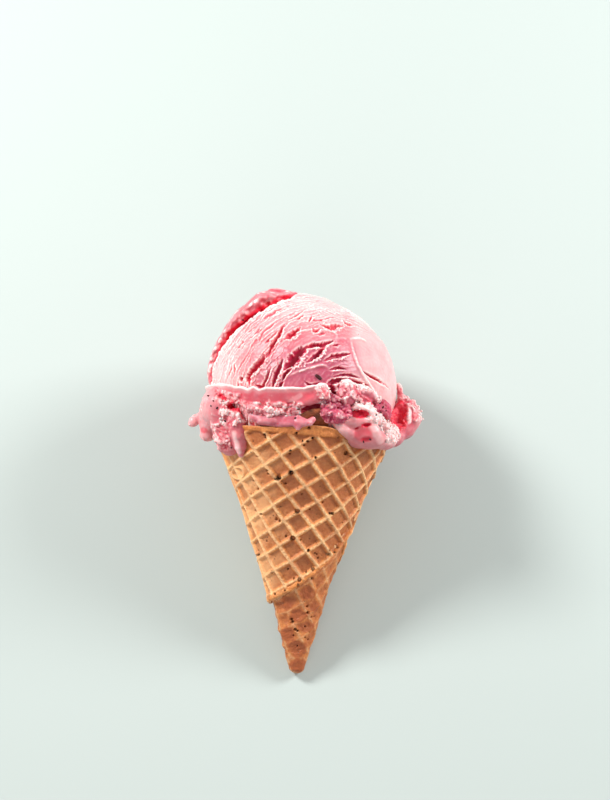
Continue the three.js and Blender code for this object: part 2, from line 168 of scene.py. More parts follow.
# %% Curves and directions
def ease_step(low, high, x):
    """0 at low, 1 at high, and between them three times the square less twice the cube of the share."""
    t = np.clip((x - low) / (high - low), 0, 1)
    return t * t * (3 - 2 * t)


def hill(x, wide):
    """e to the minus square of x over wide: 1 at 0, and nearly 0 beyond twice the width."""
    return np.exp(-((x / wide) ** 2))


def unit(v):
    """Vectors scaled to length 1."""
    v = np.asarray(v, float)
    return v / np.maximum(np.linalg.norm(v, axis=-1, keepdims=True), 1e-9)


# %% [markdown]
# ## Surfaces as whole arrays
#
# Every surface is a grid of points and a list of faces with four corners. A triangle is written as a face
# whose last corner is named twice. From such arrays come the normals, and an average of each point with
# its neighbours, which tells bulges from hollows. Bulges dry and look frosty, and hollows get a painted red
# shade.

# %% Normals, neighbours and hollows
def scatter_sum(index, values, count):
    """Adds rows of values into count rows, by index."""
    return np.stack([np.bincount(index, values[:, c], count) for c in range(values.shape[1])], 1)


def normals(points, faces):
    """At each point, the sum of the cross products of the diagonals of the faces round it."""
    p = points[faces]
    across = np.cross(p[:, 2] - p[:, 0], p[:, 3] - p[:, 1])
    return unit(scatter_sum(faces.ravel(), np.repeat(across, 4, axis=0), len(points)))


def soften(values, faces, rounds):
    """Each point's values averaged with its neighbours', some rounds over."""
    start = np.concatenate([faces.ravel(), np.roll(faces, -1, 1).ravel()])
    end = np.concatenate([np.roll(faces, -1, 1).ravel(), faces.ravel()])
    count = np.bincount(start, minlength=len(values))[:, None]
    for _ in range(rounds):
        values = 0.5 * values + 0.5 * scatter_sum(start, values[end], len(values)) / count
    return values


def hollows(points, faces, rounds):
    """How far each point lies below its neighbourhood's smooth surface, in millimetres."""
    smooth = soften(points, faces, rounds)
    return ((smooth - points) * normals(smooth, faces)).sum(1)


def tube_faces(rows, sides):
    """Faces of rows rings with sides points each, and a pole at each end as the last two points."""
    i = np.arange(rows * sides).reshape(rows, sides)
    j = np.roll(i, -1, 1)
    bands = np.stack([i[:-1], j[:-1], j[1:], i[1:]], -1).reshape(-1, 4)
    first, last = np.full(sides, rows * sides), np.full(sides, rows * sides + 1)
    low = np.stack([first, j[0], i[0], i[0]], -1)
    high = np.stack([last, i[-1], j[-1], j[-1]], -1)
    return np.concatenate([bands, low, high])


def outward(points, faces):
    """The faces, turned over where the room they enclose, summed as areas times heights, is negative."""
    p = points[faces]
    room = (np.cross(p[:, 2] - p[:, 0], p[:, 3] - p[:, 1]) * p.mean(1)).sum()
    return faces if room > 0 else faces[:, [1, 0, 3, 2]]


# %% [markdown]
# `piece` puts such arrays into a mesh, lays them down, and hides the imported part of the solid they stand
# for. The marks are numbers at each point, such as how torn or how deep it is, and the materials read them
# by name.

# %% Put arrays into a mesh
def piece(name, points, faces, finish, node, **marks):
    """Makes one finished piece from points in millimetres and faces with four corners."""
    mesh = bpy.data.meshes.new(name)
    triangle = faces[:, 2] == faces[:, 3]
    mesh.from_pydata(lay_down(points).tolist(), [], faces[~triangle].tolist() + faces[triangle, :3].tolist())
    mesh.polygons.foreach_set("use_smooth", np.ones(len(mesh.polygons), bool))
    for mark, values in marks.items():
        mesh.attributes.new(mark, "FLOAT", "POINT").data.foreach_set("value", values.astype(np.float32))
    mesh.materials.append(finish)
    made = bpy.data.objects.new(name, mesh)
    bpy.context.scene.collection.objects.link(made)
    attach(made, "root")
    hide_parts(node)
    print(f"{name}: {int(2 * (~triangle).sum() + triangle.sum())} triangles")


# %% [markdown]
# ## Finishes
#
# These helpers keep the node trees short. `new_node` makes a node, sets its options, and fills its sockets
# either with a value or with a link, and `finish_start` makes a material whose even properties are plain
# values. The group `fine_grain` is used by every food here. It turns a place into a small unevenness at
# two sizes, the way a crumb or an ice crystal catches light.

# %% Node helpers
def new_node(tree, kind, sockets=None, **options):
    """Adds a node to a tree, with its options and its sockets' values or links."""
    made = tree.nodes.new(kind)
    for key, value in options.items():
        setattr(made, key, value)
    for key, value in (sockets or {}).items():
        if isinstance(value, bpy.types.NodeSocket):
            tree.links.new(value, made.inputs[key])
        else:
            made.inputs[key].default_value = value
    return made


def math_of(tree, operation, *values, clamp=False):
    """The result of a Math node on up to three values."""
    made = new_node(tree, "ShaderNodeMath", dict(enumerate(values)), operation=operation, use_clamp=clamp)
    return made.outputs[0]


def blend(tree, share, one, other):
    """A colour between one, at share 0, and other, at share 1."""
    return new_node(tree, "ShaderNodeMix", {0: share, 6: one, 7: other}, data_type="RGBA").outputs[2]


def stretch(tree, value, low, high, start=0.0, end=1.0):
    """Start where the value is low, end where it is high, and a straight line between."""
    return new_node(tree, "ShaderNodeMapRange", {0: value, 1: low, 2: high, 3: start, 4: end}).outputs[0]


def mark_of(tree, name):
    """The value of a mark that a mesh carries."""
    return new_node(tree, "ShaderNodeAttribute", attribute_name=name).outputs["Fac"]


def place_in(tree):
    """The place on the object, in metres."""
    return new_node(tree, "ShaderNodeTexCoord").outputs["Object"]


def finish_start(name, even):
    """A new material, its tree and its shader, with the even properties set."""
    made = bpy.data.materials.new(name)
    made.use_nodes = True
    shader = made.node_tree.nodes["Principled BSDF"]
    for socket, value in even.items():
        shader.inputs[socket].default_value = value
    return made, made.node_tree, shader


def roughen(tree, shader, height, strength, distance):
    """Lets a height, over a distance in metres, tilt the shader's normals."""
    bump = new_node(tree, "ShaderNodeBump", {"Height": height, "Strength": strength, "Distance": distance})
    tree.links.new(bump.outputs[0], shader.inputs["Normal"])


# %% [markdown]
# The group adds half of the fine noise to the coarse one, so small grains ride on larger ones.

# %% The shared grain group
FINE_SHARE, GRAIN_DETAIL = 0.5, 3.0

fine_grain = bpy.data.node_groups.new("fine_grain", "ShaderNodeTree")
for socket, kind in (("Vector", "Vector"), ("Coarse", "Float"), ("Fine", "Float")):
    fine_grain.interface.new_socket(socket, in_out="INPUT", socket_type=f"NodeSocket{kind}")
fine_grain.interface.new_socket("Height", in_out="OUTPUT", socket_type="NodeSocketFloat")
group_in = fine_grain.nodes.new("NodeGroupInput").outputs
group_out = fine_grain.nodes.new("NodeGroupOutput")
coarse, fine = (
    new_node(fine_grain, "ShaderNodeTexNoise", {"Vector": group_in[0], "Scale": size, "Detail": GRAIN_DETAIL})
    for size in (group_in["Coarse"], group_in["Fine"])
)
both = math_of(fine_grain, "MULTIPLY_ADD", fine.outputs[0], FINE_SHARE, coarse.outputs[0])
fine_grain.links.new(both, group_out.inputs["Height"])


def grain_of(tree, coarse, fine):
    """The height of the shared grain, with the two sizes given as grains per metre."""
    links = {"Vector": place_in(tree), "Coarse": coarse, "Fine": fine}
    return new_node(tree, "ShaderNodeGroup", links, node_tree=fine_grain).outputs["Height"]


# %% [markdown]
# Strawberry ice cream is milk, air and fruit. Light goes into it and comes out pink, so its material
# scatters light under the surface. It reaches about two millimetres far where the ice cream is smooth, and
# less in torn ice cream, whose crumbs are smaller than that. Where it was torn it is frosty and nearly
# white. Down in grooves and holes, where only light that passed through pink comes out, a deep red is
# painted as shade, from the marks `hollow` and `deep`. In the fruity lumps `deep` is also the fruit's own
# red. `pale` is frost, and painted light on the sides the lamps face. `tint` is how much fruit there is,
# and `torn` makes it rough.

# %% Strawberry material
PINK, ROSY = (0.58, 0.13, 0.165, 1), (0.52, 0.10, 0.135, 1)
# FROST_AND_PAINTED_LIGHT is frost, and also the colour of painted light where the pale mark carries it. WINE is
# painted red shade in hollows, grooves and holes, and the fruit's own red in the fruity lumps.
FRUIT, FROST_AND_PAINTED_LIGHT = (0.44, 0.075, 0.14, 1), (0.90, 0.67, 0.66, 1)
WINE, CRIMSON = (0.70, 0.018, 0.055, 1), (0.46, 0.018, 0.075, 1)
FROST_ON_BULGES, PAINTED_SHADE_IN_HOLLOWS, WINE_MOST = -2.6, 2.8, 0.75
SMOOTH_REACH, TORN_REACH = 0.0021, 0.0008


def strawberry_finish(name, reach):
    """Pink blended with rosy, fruit, frost and painted light, and wine red as painted shade, in turn. reach is
    how far light goes in, in metres.
    """
    even = {"Subsurface Weight": 0.8, "Subsurface Radius": (1.0, 0.3, 0.26), "Subsurface Scale": reach}
    made, tree, shader = finish_start(name, {**even, "Specular IOR Level": 0.4})
    hollow, torn, tint = mark_of(tree, "hollow"), mark_of(tree, "torn"), mark_of(tree, "tint")
    bulge = math_of(tree, "MULTIPLY", hollow, FROST_ON_BULGES, clamp=True)
    flecks = stretch(tree, grain_of(tree, 800, 2400), 0.78, 0.94, 0.0, 0.4)
    frosty = math_of(tree, "MULTIPLY_ADD", flecks, torn, bulge)
    frost_and_painted_light = math_of(tree, "ADD", mark_of(tree, "pale"), frosty, clamp=True)
    colour = blend(tree, stretch(tree, grain_of(tree, 420, 1500), 0.62, 0.92, 0.0, 0.28), PINK, ROSY)
    colour = blend(tree, frost_and_painted_light, blend(tree, tint, colour, FRUIT), FROST_AND_PAINTED_LIGHT)
    # Painted shade: hollows and the deep mark turn the colour wine red, for the red light that comes out of
    # grooves and holes.
    hollow_shade = math_of(tree, "MULTIPLY", hollow, PAINTED_SHADE_IN_HOLLOWS, clamp=True)
    red_shade_and_fruit = math_of(tree, "MULTIPLY_ADD", hollow_shade, WINE_MOST, mark_of(tree, "deep"), clamp=True)
    tree.links.new(blend(tree, red_shade_and_fruit, colour, blend(tree, tint, WINE, CRIMSON)), shader.inputs["Base Color"])
    tree.links.new(stretch(tree, torn, 0.0, 1.0, 0.36, 0.62), shader.inputs["Roughness"])
    height = math_of(tree, "MULTIPLY", grain_of(tree, 900, 2600), math_of(tree, "MULTIPLY_ADD", torn, 0.8, 0.2))
    roughen(tree, shader, height, 0.6, 0.0004)
    return made


smooth_cream = strawberry_finish("smooth_cream", SMOOTH_REACH)
torn_cream = strawberry_finish("torn_cream", TORN_REACH)

# %% [markdown]
# A wafer is baked batter. The ribs are pale gold, the pockets' floors touched the hot iron and are browner,
# and small pores and pinholes are dark. `rib` is 1 on the ribs, `brown` is how well baked a place is, or
# how pale it is where it is less than 0, which on the left is pale batter and painted light, and `pore` is
# 1 down in a pore, and on the inner lip a darkening by noise.

# %% Wafer material
RIB_GOLD, FLANK_AMBER, FLOOR_BROWN = (1.0, 0.65, 0.32, 1), (0.78, 0.29, 0.07, 1), (0.50, 0.18, 0.055, 1)
FAIR, BAKED, PORE_DARK = (0.92, 0.52, 0.24, 1), (0.36, 0.085, 0.02, 1), (0.014, 0.004, 0.002, 1)
MOTTLES = [(260, 1500, 0.6), (1000, 2600, 0.66)]


def wafer_finish():
    """Floor, flank and crest blended by the mark rib, then mottled, and then fair, baked and dark places."""
    even = {"Roughness": 0.5, "Subsurface Weight": 0.1, "Subsurface Radius": (1.0, 0.5, 0.25)}
    made, tree, shader = finish_start("baked_wafer", {**even, "Subsurface Scale": 0.0008})
    rib, brown, place = mark_of(tree, "rib"), mark_of(tree, "brown"), place_in(tree)
    colour = blend(tree, stretch(tree, rib, 0.05, 0.45), FLOOR_BROWN, FLANK_AMBER)
    colour = blend(tree, stretch(tree, rib, 0.55, 0.95), colour, RIB_GOLD)
    for coarse, fine, low in MOTTLES:
        colour = blend(tree, stretch(tree, grain_of(tree, coarse, fine), low, 0.95, 0.0, 0.5), colour, BAKED)
    # Below 0, brown turns to FAIR: pale batter, and on the left painted light.
    colour = blend(tree, math_of(tree, "MULTIPLY", brown, -1.0, clamp=True), colour, FAIR)
    colour = blend(tree, brown, colour, BAKED)
    specks = new_node(tree, "ShaderNodeTexVoronoi", {"Vector": place, "Scale": 620.0})
    patchy = new_node(tree, "ShaderNodeTexNoise", {"Vector": place, "Scale": 300.0})
    speck = stretch(tree, specks.outputs[0], 0.10, 0.22, 0.75, 0.0)
    pin = math_of(tree, "MULTIPLY", speck, stretch(tree, patchy.outputs[0], 0.54, 0.68))
    dark = math_of(tree, "MAXIMUM", pin, mark_of(tree, "pore"))
    tree.links.new(blend(tree, dark, colour, PORE_DARK), shader.inputs["Base Color"])
    roughen(tree, shader, math_of(tree, "MULTIPLY_ADD", pin, -1.5, grain_of(tree, 700, 2400)), 0.8, 0.0006)
    return made


wafer = wafer_finish()

# %% [markdown]
# ## The wafer: one sheet, rolled
#
# A waffle cone is a round waffle, rolled up hot. On the flat sheet the ribs are straight lines, so the
# pattern is worked out there: each place on the cone is unrolled to the flat sheet, the distance to the
# nearest rib of each of the two families gives its height, and the place is rolled up again. The
# dimensions are those of the solid, and the rim's dip is added.

# %% The cone's shape
SLOPE, APEX_DROP, TIP_R = 0.333, 6.75, 3.1
RIM_Y, RIM_FLARE, FLARE_FROM_Y, FLARE_TO_Y = 92.8, 1.5, 62, 86
RIM_DIP, DIP_A, DIP_WIDE = 5.4, 43, 20
RIB_H, WALL, LAP = 1.15, 1.3, 1.4
HOLLOW_FROM_Y, HOLLOW_END_R, WALL_THICKENS_Y, GAP = 22, 3, 60, 0.3
BORDER_Y, BORDER_TILT = 89.65, 2.0
beta = math.atan(SLOPE)


def around(r, y, a):
    """A point at radius r and height y, a degrees to the right of the shown side."""
    a = np.radians(a)
    return np.stack(np.broadcast_arrays(r * np.sin(a), y, r * np.cos(a)), -1)


def outside_at(y):
    """The rib tops' radius at a height: a straight cone that flares a little at the mouth."""
    return SLOPE * (y + APEX_DROP) + RIM_FLARE * ease_step(FLARE_FROM_Y, FLARE_TO_Y, y)


def under_at(y):
    """The same for the turn of the sheet that lies one layer deeper."""
    return outside_at(y) - LAP * ease_step(12, 32, y)


def wall_at(y):
    """The inside's radius: the outside's, less the layer on top, the ribs and the wall."""
    return outside_at(y) - LAP - RIB_H - WALL


def hollow_at(y):
    """The inside's radius, which narrows faster, in a straight line, below WALL_THICKENS_Y."""
    share = (y - HOLLOW_FROM_Y) / (WALL_THICKENS_Y - HOLLOW_FROM_Y)
    low = HOLLOW_END_R + (wall_at(WALL_THICKENS_Y) - HOLLOW_END_R) * share
    return np.where(y > WALL_THICKENS_Y, wall_at(y), low)


def rim_y(a):
    """The rim's height: two sines make it wave, and a hill taken away is where it was pressed down."""
    dip = RIM_DIP * hill(np.mod(a + 180, 360) - 180 - DIP_A, DIP_WIDE)
    return RIM_Y + 0.5 * np.sin(2 * np.radians(a) + 0.6) + 0.35 * np.sin(5 * np.radians(a)) - dip


def border_y(a):
    """Where the smooth border below the rim ends: a slanting ring round the cone."""
    return BORDER_Y - BORDER_TILT * np.sin(np.radians(a))


print("the wafer is", round(2 * float(outside_at(RIM_Y)), 1), "mm wide at the mouth")

# %% [markdown]
# The iron has two families of parallel grooves, which cross almost squarely. They are given by their
# directions and steps on the flat sheet. The turn that shows at the tip was rolled tighter, so its grooves
# have directions and steps of their own.

# %% The flat sheet and its ribs
OUTER_GRID = {"turns": (37.0, 32.5), "steps": (7.31, 7.44), "at": (-0.05, 72.0), "sags": (0.0041, 0.0060)}
OUTER_RIBS = {"half": 1.3, "sharp": 1.9, "seed": 21}
TIP_GRID = {"turns": (30, 30), "steps": (7.2, 6.0), "at": (7.8, 39.2), "sags": (0, 0)}
TIP_RIBS = {"half": 2.0, "sharp": 1.3, "seed": 31}
SAG_REACH, SECOND_SIZE = 30, 0.9
EDGE_DISTANCE, EDGE_TURN, LAP_CLIMB = 34.49, 36.2, 41
sheet_share = math.sin(beta)
LAP_A = 180 - EDGE_TURN / sheet_share


def edge_y(a):
    """Height of the outer turn's lower edge, which is a straight line on the flat sheet."""
    along = EDGE_DISTANCE / np.cos(np.radians(a * sheet_share + EDGE_TURN))
    return along * math.cos(beta) - APEX_DROP


def flat_place(y, a):
    """Where a place lies on the unrolled sheet, with the cone's apex at the origin."""
    along, phi = (y + APEX_DROP) / math.cos(beta), np.radians(a * sheet_share)
    return along * np.sin(phi), along * np.cos(phi)


def ribs(y, a, grid, half, sharp, seed):
    """1 on a rib and 0 on a pocket's floor, from the distance to the nearest line of each family. Half a
    rib's section falls as 1 less the distance to a power, so its top is round and its foot is crisp. The
    lines sag a little to both sides: they bend with the square of x, which stops growing far out."""
    x, up = flat_place(y, a)
    flat = np.stack([x, up, np.zeros_like(x)], -1)
    x, up = x + 0.3 * noise(flat, 9, seed), up + 0.3 * noise(flat, 9, seed + 1)
    square = SAG_REACH**2 * (1 - hill(x, SAG_REACH))
    one, two = np.radians(grid["turns"])
    x, up = x - grid["at"][0], up - grid["at"][1]
    p = x * math.cos(one) + up * math.sin(one) + grid["sags"][0] * square
    q = up * math.cos(two) - x * math.sin(two) + grid["sags"][1] * square
    width = 1 + 0.16 * noise(flat, 5, seed + 2)
    found = []
    for place, step, size in zip((p, q), grid["steps"], (1.0, SECOND_SIZE)):
        away = np.abs(place - np.round(place / step) * step) / (width * half * size)
        found.append(size * (1 - np.clip(away, 0, 1) ** sharp))
    return np.clip(np.maximum(*found) + 0.08 * np.minimum(*found), 0, 1.06)


print("the sheet begins to lie on itself at", round(LAP_A, 1), "degrees")

# %% [markdown]
# Pores are bubbles that burst in the batter. The big ones are at known places on the shown side, given
# as x and y in the front view with a radius, and small ones come by chance all round. `pits` is 1 in the
# middle of each and falls to 0 at its brim.

# %% Pores
SHOWN_PORES = [
    (-3.8, 75.8, 0.9), (-8.4, 73.7, 0.95), (-1.1, 61.5, 0.9), (-2.6, 51.4, 1.0), (0.3, 36.1, 0.7),
    (-9.2, 58.2, 0.55), (16.9, 83.1, 0.8), (-9.4, 93.0, 0.9), (-14.0, 89.2, 0.7),
    (-13.7, 88.4, 0.5), (-12.9, 76.3, 0.5), (-12.4, 74.9, 0.4), (-16.7, 81.2, 0.45),
    (3.9, 88.7, 0.5), (2.1, 87.3, 0.5), (0.7, 85.9, 0.35), (5.2, 81.5, 0.4), (2.4, 92.4, 0.5),
    (-2.1, 90.3, 0.45), (-4.3, 83.9, 0.35), (-4.6, 82.6, 0.3), (18.5, 82.1, 0.35),
    (3.4, 47.0, 0.55), (5.3, 40.0, 0.65), (11.0, 45.7, 0.6), (14.0, 48.2, 0.5), (12.0, 60.9, 0.55),
    (20.3, 57.0, 0.6), (21.1, 60.2, 0.4), (-18.3, 72.1, 0.45), (-5.4, 51.9, 0.35), (0.4, 67.9, 0.3),
    (-10.3, 38.1, 0.3), (2.8, 38.8, 0.3), (-16.3, 45.7, 0.3), (-13.0, 49.7, 0.3), (3.6, 62.2, 0.3),
    (0.3, 50.7, 0.3), (6.1, 45.9, 0.3), (6.8, 45.5, 0.3), (7.3, 44.1, 0.3), (-2.5, 20.8, 0.6),
    (-2.0, 19.8, 0.6), (-0.9, 17.1, 0.6), (0.0, 16.5, 0.5), (3.8, 23.4, 0.65), (3.6, 25.7, 0.6),
    (5.4, 21.6, 0.45), (6.6, 21.6, 0.45), (0.9, 29.5, 0.45), (5.1, 36.3, 0.75), (7.2, 33.4, 0.65),
    (8.9, 29.7, 0.55), (8.1, 28.3, 0.4), (0.0, 10.6, 0.3), (1.4, 7.4, 0.3), (-1.6, 14.6, 0.3),
    (3.0, 14.0, 0.3), (4.4, 13.0, 0.35), (-8.6, 30.2, 0.4),
]
CHANCE_PORES, PORE_LONG = 70, 0.35

x, y, r = np.array(SHOWN_PORES).T
known = np.stack([x, y, np.sqrt(np.maximum(outside_at(y) ** 2 - x**2, 1)), r], -1)
a = rng.uniform(-180, 180, CHANCE_PORES)
y = 95 * np.sqrt(rng.uniform(0.01, 0.9, CHANCE_PORES))
chance = np.concatenate([around(outside_at(y), y, a), rng.uniform(0.25, 0.5, (CHANCE_PORES, 1))], 1)
PORES = np.concatenate([known, chance])


def pits(points):
    """For each pore, an S-curve of the distance from it over its radius, and the most of them all."""
    depth = np.zeros(points.shape[:-1])
    for *middle, r in PORES:
        away = np.linalg.norm((points - middle) * [1, 1, PORE_LONG], axis=-1)
        depth = np.maximum(depth, 1 - ease_step(0.7 * r, 1.2 * r, away))
    return depth


print(len(PORES), "pores")

# %% [markdown]
# The outer turn is a closed profile carried round the cone: up the outside, over the rim, down the inside
# and back round the lower edge. That edge is where the sheet ends, so it is torn and thick, and it stands
# a little off the turn beneath. On its way round the sheet goes down by one layer, so that it ends under
# its own beginning. The grid has a row for each step up the sheet and a column for each step round it.

# %% The outer turn's grid
TURN_COLUMNS, TURN_ROWS = 460, 200
SHOWN_SHARE, CROWDING = 0.18, 0.3

share = np.linspace(0, 1, TURN_COLUMNS)
# A sine taken from the share crowds the columns together on the shown side.
share = share - CROWDING / (2 * np.pi) * np.sin(2 * np.pi * (share - SHOWN_SHARE))
up, share = np.meshgrid(np.linspace(0, 1, TURN_ROWS), share - share[0], indexing="ij")
a = LAP_A + LAP_CLIMB * up - 360 * share
low = edge_y(LAP_A - 360 * share)
edge_place = around(np.full_like(low, 20.0), low, LAP_A - 360 * share)
ragged = uneven(edge_place, (0.55, 3.1, 5), (0.3, 1.1, 6), (0.12, 0.5, 7))
y = low + ragged * (1 - up) ** 8 + (rim_y(a) - low) * up
above = y - low
r = outside_at(y) - LAP * share * up
flat = around(r, y, a)
print("the lower edge runs from", round(low.min(), 1), "to", round(low.max(), 1))

# %% [markdown]
# The relief is 1 on a rib. The smooth border at the rim and the hem at the lower edge are as high as a rib,
# and a bubble in the batter left a ring. What is less than 1 lies deeper, and so do pores and a groove that
# parts the border from the rim's rounded edge. Near its lower edge the sheet stands off a little, but its
# last part, behind on the right, was pressed flat against the turn below.

# %% The outer turn's relief
HEM, STAND_OFF, PRESSED_IN, PORE_DEEP = (1.6, 3.0), 0.55, 1.3, 2.0
RING_X, RING_Y, RING_R, RING_THICK = -23.8, 74.8, 2.3, 0.45

band = ease_step(-0.5, 0.6, y - border_y(a))
hem = 1 - ease_step(*HEM, above - 0.6 * noise(edge_place, 4, 18))
ring = hill(np.hypot(flat[..., 0] - RING_X, flat[..., 1] - RING_Y) - RING_R, RING_THICK) * (flat[..., 2] > 0)
relief = np.maximum(ribs(y, a, OUTER_GRID, **OUTER_RIBS), (0.9 + 0.12 * noise(edge_place, 2.5, 11)) * band)
relief = np.maximum(relief, np.maximum(0.85 * hem, 0.95 * ring))
pressed = ease_step(0.72, 0.85, share) * (1 - ease_step(0, 7, above))
pit = pits(flat)
depth = RIB_H * (1 - relief) + PORE_DEEP * pit + 0.45 * (1 - ease_step(0, 0.9, above - ragged)) ** 2
depth += 0.2 * hill(y - border_y(a) - 2.4, 0.6) * band + 0.5 * (1 - ease_step(0, 0.004, share))
off = STAND_OFF * (1 - ease_step(0, 4.5, above))
depth -= uneven(flat, (0.3, 13, 8), (0.12, 2.3, 9)) + off - PRESSED_IN * pressed
outside = around(r - depth * math.cos(beta), y + depth * math.sin(beta), a)
print("the relief goes", round(depth.max(), 1), "mm deep")

# %% [markdown]
# The rest of the profile is a few rings. Four round off the rim, two go down the inside, two come up again
# hidden between the layers, and four turn under the lower edge, which is thinner where it was pressed flat.

# %% Over the rim, down the inside, and back under the edge
rim = rim_y(a[-1])
high, deep = outside_at(rim) - LAP * share[-1], wall_at(rim) + 0.3 * WALL
over = [(high - 0.5, 0.25), ((high + deep) / 2, 0.35), (deep + 0.3, 0.1), (deep, -0.6)]
rings = [around(r, rim + s, a[-1]) for r, s in over]
rings += [around(wall_at(rim - s) + 0.3 * WALL, rim - s, a[-1]) for s in (2.5, 6.0)]
foot = low[0] + ragged[0]
rings += [around(wall_at(foot + s) + 0.3 * WALL, foot + s, a[0]) for s in (12.0, 5.5)]
thin = 1 - 0.9 * pressed[0]
rings += [around(under_at(foot + s) + t * thin, foot + s, a[0]) for s, t in ((3.0, 0.1), (1.0, 0.45))]
rings += [around(under_at(foot) + t * thin, foot - s, a[0]) for t, s in ((0.6, -0.15), (1.0, 0.15))]
rows = np.concatenate([outside, rings])
count = len(rows)
i = np.arange(count * TURN_COLUMNS).reshape(count, TURN_COLUMNS)
j = np.roll(i, -1, 0)
faces = [np.stack([i[:, 1:], i[:, :-1], j[:, :-1], j[:, 1:]], -1).reshape(-1, 4)]
# Each end is closed by a fan about its middle, which is hidden between the layers or just under the skin.
ends = [rows[[TURN_ROWS // 2, -5], column].mean(0) for column in (0, -1)]
for pole, one, two in ((0, j[:, 0], i[:, 0]), (1, i[:, -1], j[:, -1])):
    faces.append(np.stack([np.full(count, count * TURN_COLUMNS + pole), one, two, two], -1))


# %% [markdown]
# How well a place is baked drifts over the sheet. The right side is browner, and the left is paler, partly
# batter that stayed pale and partly painted light. The points that follow the outside's are hidden, so
# their marks are one plain number.

# %% The outer turn's marks
def filled(values, points, rest):
    """One number for each point: the values, and then the rest for the hidden points."""
    return np.concatenate([values.ravel(), np.full(len(points) - values.size, rest)])


baked = 0.22 * ease_step(-0.4, 0.6, noise(flat, 16, 12)) + 0.12 * noise(flat, 2.2, 13)
upper, right = 0.2 * ease_step(82, 90, y) * (1 - band), 0.35 * ease_step(60, 100, a)
baked += 0.2 * noise(flat, 3.0, 10) * band + upper + right
# Paler on the left: partly pale batter, partly painted light.
fair = ease_step(0, -45, a) * ease_step(-150, -100, a) * ease_step(88, 78, y)
brown = np.clip(baked - (0.55 + 0.5 * noise(flat, 9, 19)) * fair, -1, 1)
gold = relief * (1 - 0.5 * band) * (1 - 0.35 * hem)
points = np.concatenate([rows.reshape(-1, 3), ends])
marks = {"rib": (gold, 1.0), "brown": (brown, 0.3), "pore": (ease_step(0.2, 0.6, pit), 0.0)}
marks = {name: filled(values, points, rest) for name, (values, rest) in marks.items()}
piece("outer_turn", points, np.concatenate(faces), wafer, WAFER_NODE, **marks)

# %% [markdown]
# Below the outer turn's edge one layer shows, down to the closed tip. It is a surface of revolution with
# softer ribs, because the roller squeezed it, and it is baked browner. Its profile starts with a quarter
# circle round the tip's end, and goes on up under the outer turn, over the rim and down the inside, so
# the wafer is one closed shell.

# %% The inner turn and the tip
TIP_COLUMNS, TIP_ROWS, TIP_OVER = 300, 190, 3.5
TIP_BENDS, TIP_START = np.radians([12, 28, 44, 58, 70])[:, None], math.radians(78)
KNOB_X, KNOB_Y, KNOB_R, KNOB_H = -6.9, 28.6, 1.8, 0.9
LAYER = 0.75 * WALL

a = np.linspace(-180, 180, TIP_COLUMNS, endpoint=False)
top, start = edge_y(np.where(a > LAP_A, a - 360, a)) + TIP_OVER, TIP_R * (1 - math.cos(TIP_START))
climb = start + (top - start) * np.linspace(0, 1, TIP_ROWS)[:, None]
y = np.concatenate([TIP_R * (1 - np.cos(TIP_BENDS)) + 0 * a, climb])
r = under_at(y) - 0.16 * ease_step(5, 0, y) - 0.08
r[: len(TIP_BENDS)] = TIP_R * np.sin(TIP_BENDS)
a = a + 0 * y
fade = ease_step(5.0, 9.0, y)
relief = 1 - (1 - ribs(y, a, TIP_GRID, **TIP_RIBS)) * fade
flat = around(r, y, a)
pit = pits(flat) * (y > 8)
knob = np.exp(-((np.hypot(flat[..., 0] - KNOB_X, flat[..., 1] - KNOB_Y) / KNOB_R) ** 6)) * (flat[..., 2] > 0)
depth = 0.5 * RIB_H * (1 - relief) + 1.5 * pit - uneven(flat, (0.3, 6, 14), (0.16, 2, 15)) - KNOB_H * knob
outside = around(np.maximum(r - depth * math.cos(beta), 0.3), y + depth * math.sin(beta) * fade, a)
rim = rim_y(a[-1]) - 0.8
rings = [around(wall_at(h) + LAYER, h, a[-1]) for h in (y[-1] + 1, FLARE_TO_Y, rim)]
rings += [around(hollow_at(h), h, a[-1]) for h in (rim, FLARE_TO_Y, WALL_THICKENS_Y, HOLLOW_FROM_Y)]
rows = np.concatenate([outside, rings])
points = np.concatenate([rows.reshape(-1, 3), [[0, 0.05, 0], [0, HOLLOW_FROM_Y, 0]]])
faces = outward(points, tube_faces(len(rows), TIP_COLUMNS))

# %% [markdown]
# The tip lay longest on the iron, so it is browner than the rest, and it has dark patches at known places,
# given as x and y in the front view with a width and a height. The ribs' crests stayed a little paler.

# %% How the tip is baked
TIP_PATCHES = [
    (3.5, 31.0, 3.0, 2.6), (0.2, 22.6, 3.2, 2.4), (3.4, 18.0, 3.2, 2.0), (-0.1, 10.0, 3.6, 3.4),
    (0.4, 3.4, 3.2, 2.8), (-4.4, 27.0, 2.6, 2.6), (-3.6, 14.8, 2.8, 2.8), (6.2, 26.0, 1.8, 2.4),
]

x, high, z = np.moveaxis(outside, -1, 0)
patches = np.zeros(x.shape)
blurred = 0.25 * noise(outside, 1.8, 18)
for middle_x, middle_y, wide, tall in TIP_PATCHES:
    away = np.hypot((x - middle_x) / wide, (high - middle_y) / tall) + blurred
    patches = np.maximum(patches, ease_step(1.15, 0.75, away) * (z > 0))
baked = 0.42 + 0.22 * noise(outside, 5, 16) + 0.15 * noise(outside, 1.4, 19)
baked += 0.5 * patches + 0.4 * ease_step(0, -4, z) * (1 - relief)
crust = 0.12 + 0.75 * relief**1.6 * (1 - 0.8 * patches) + 0.3 * knob
marks = {"rib": (crust, 0.6), "brown": (baked, 0.5), "pore": (0.6 * ease_step(0.35, 0.8, pit), 0.0)}
marks = {name: filled(values, points, rest) for name, (values, rest) in marks.items()}
piece("inner_turn", points, faces, wafer, WAFER_NODE, **marks)

# %% [markdown]
# The sheet's own beginning stands up inside the mouth, and shows in the gap at the front. It is a short
# curved plate: an oval section carried round the axis, taller in the middle. Each oval leans out with the
# wall, and their tops follow a low arch.

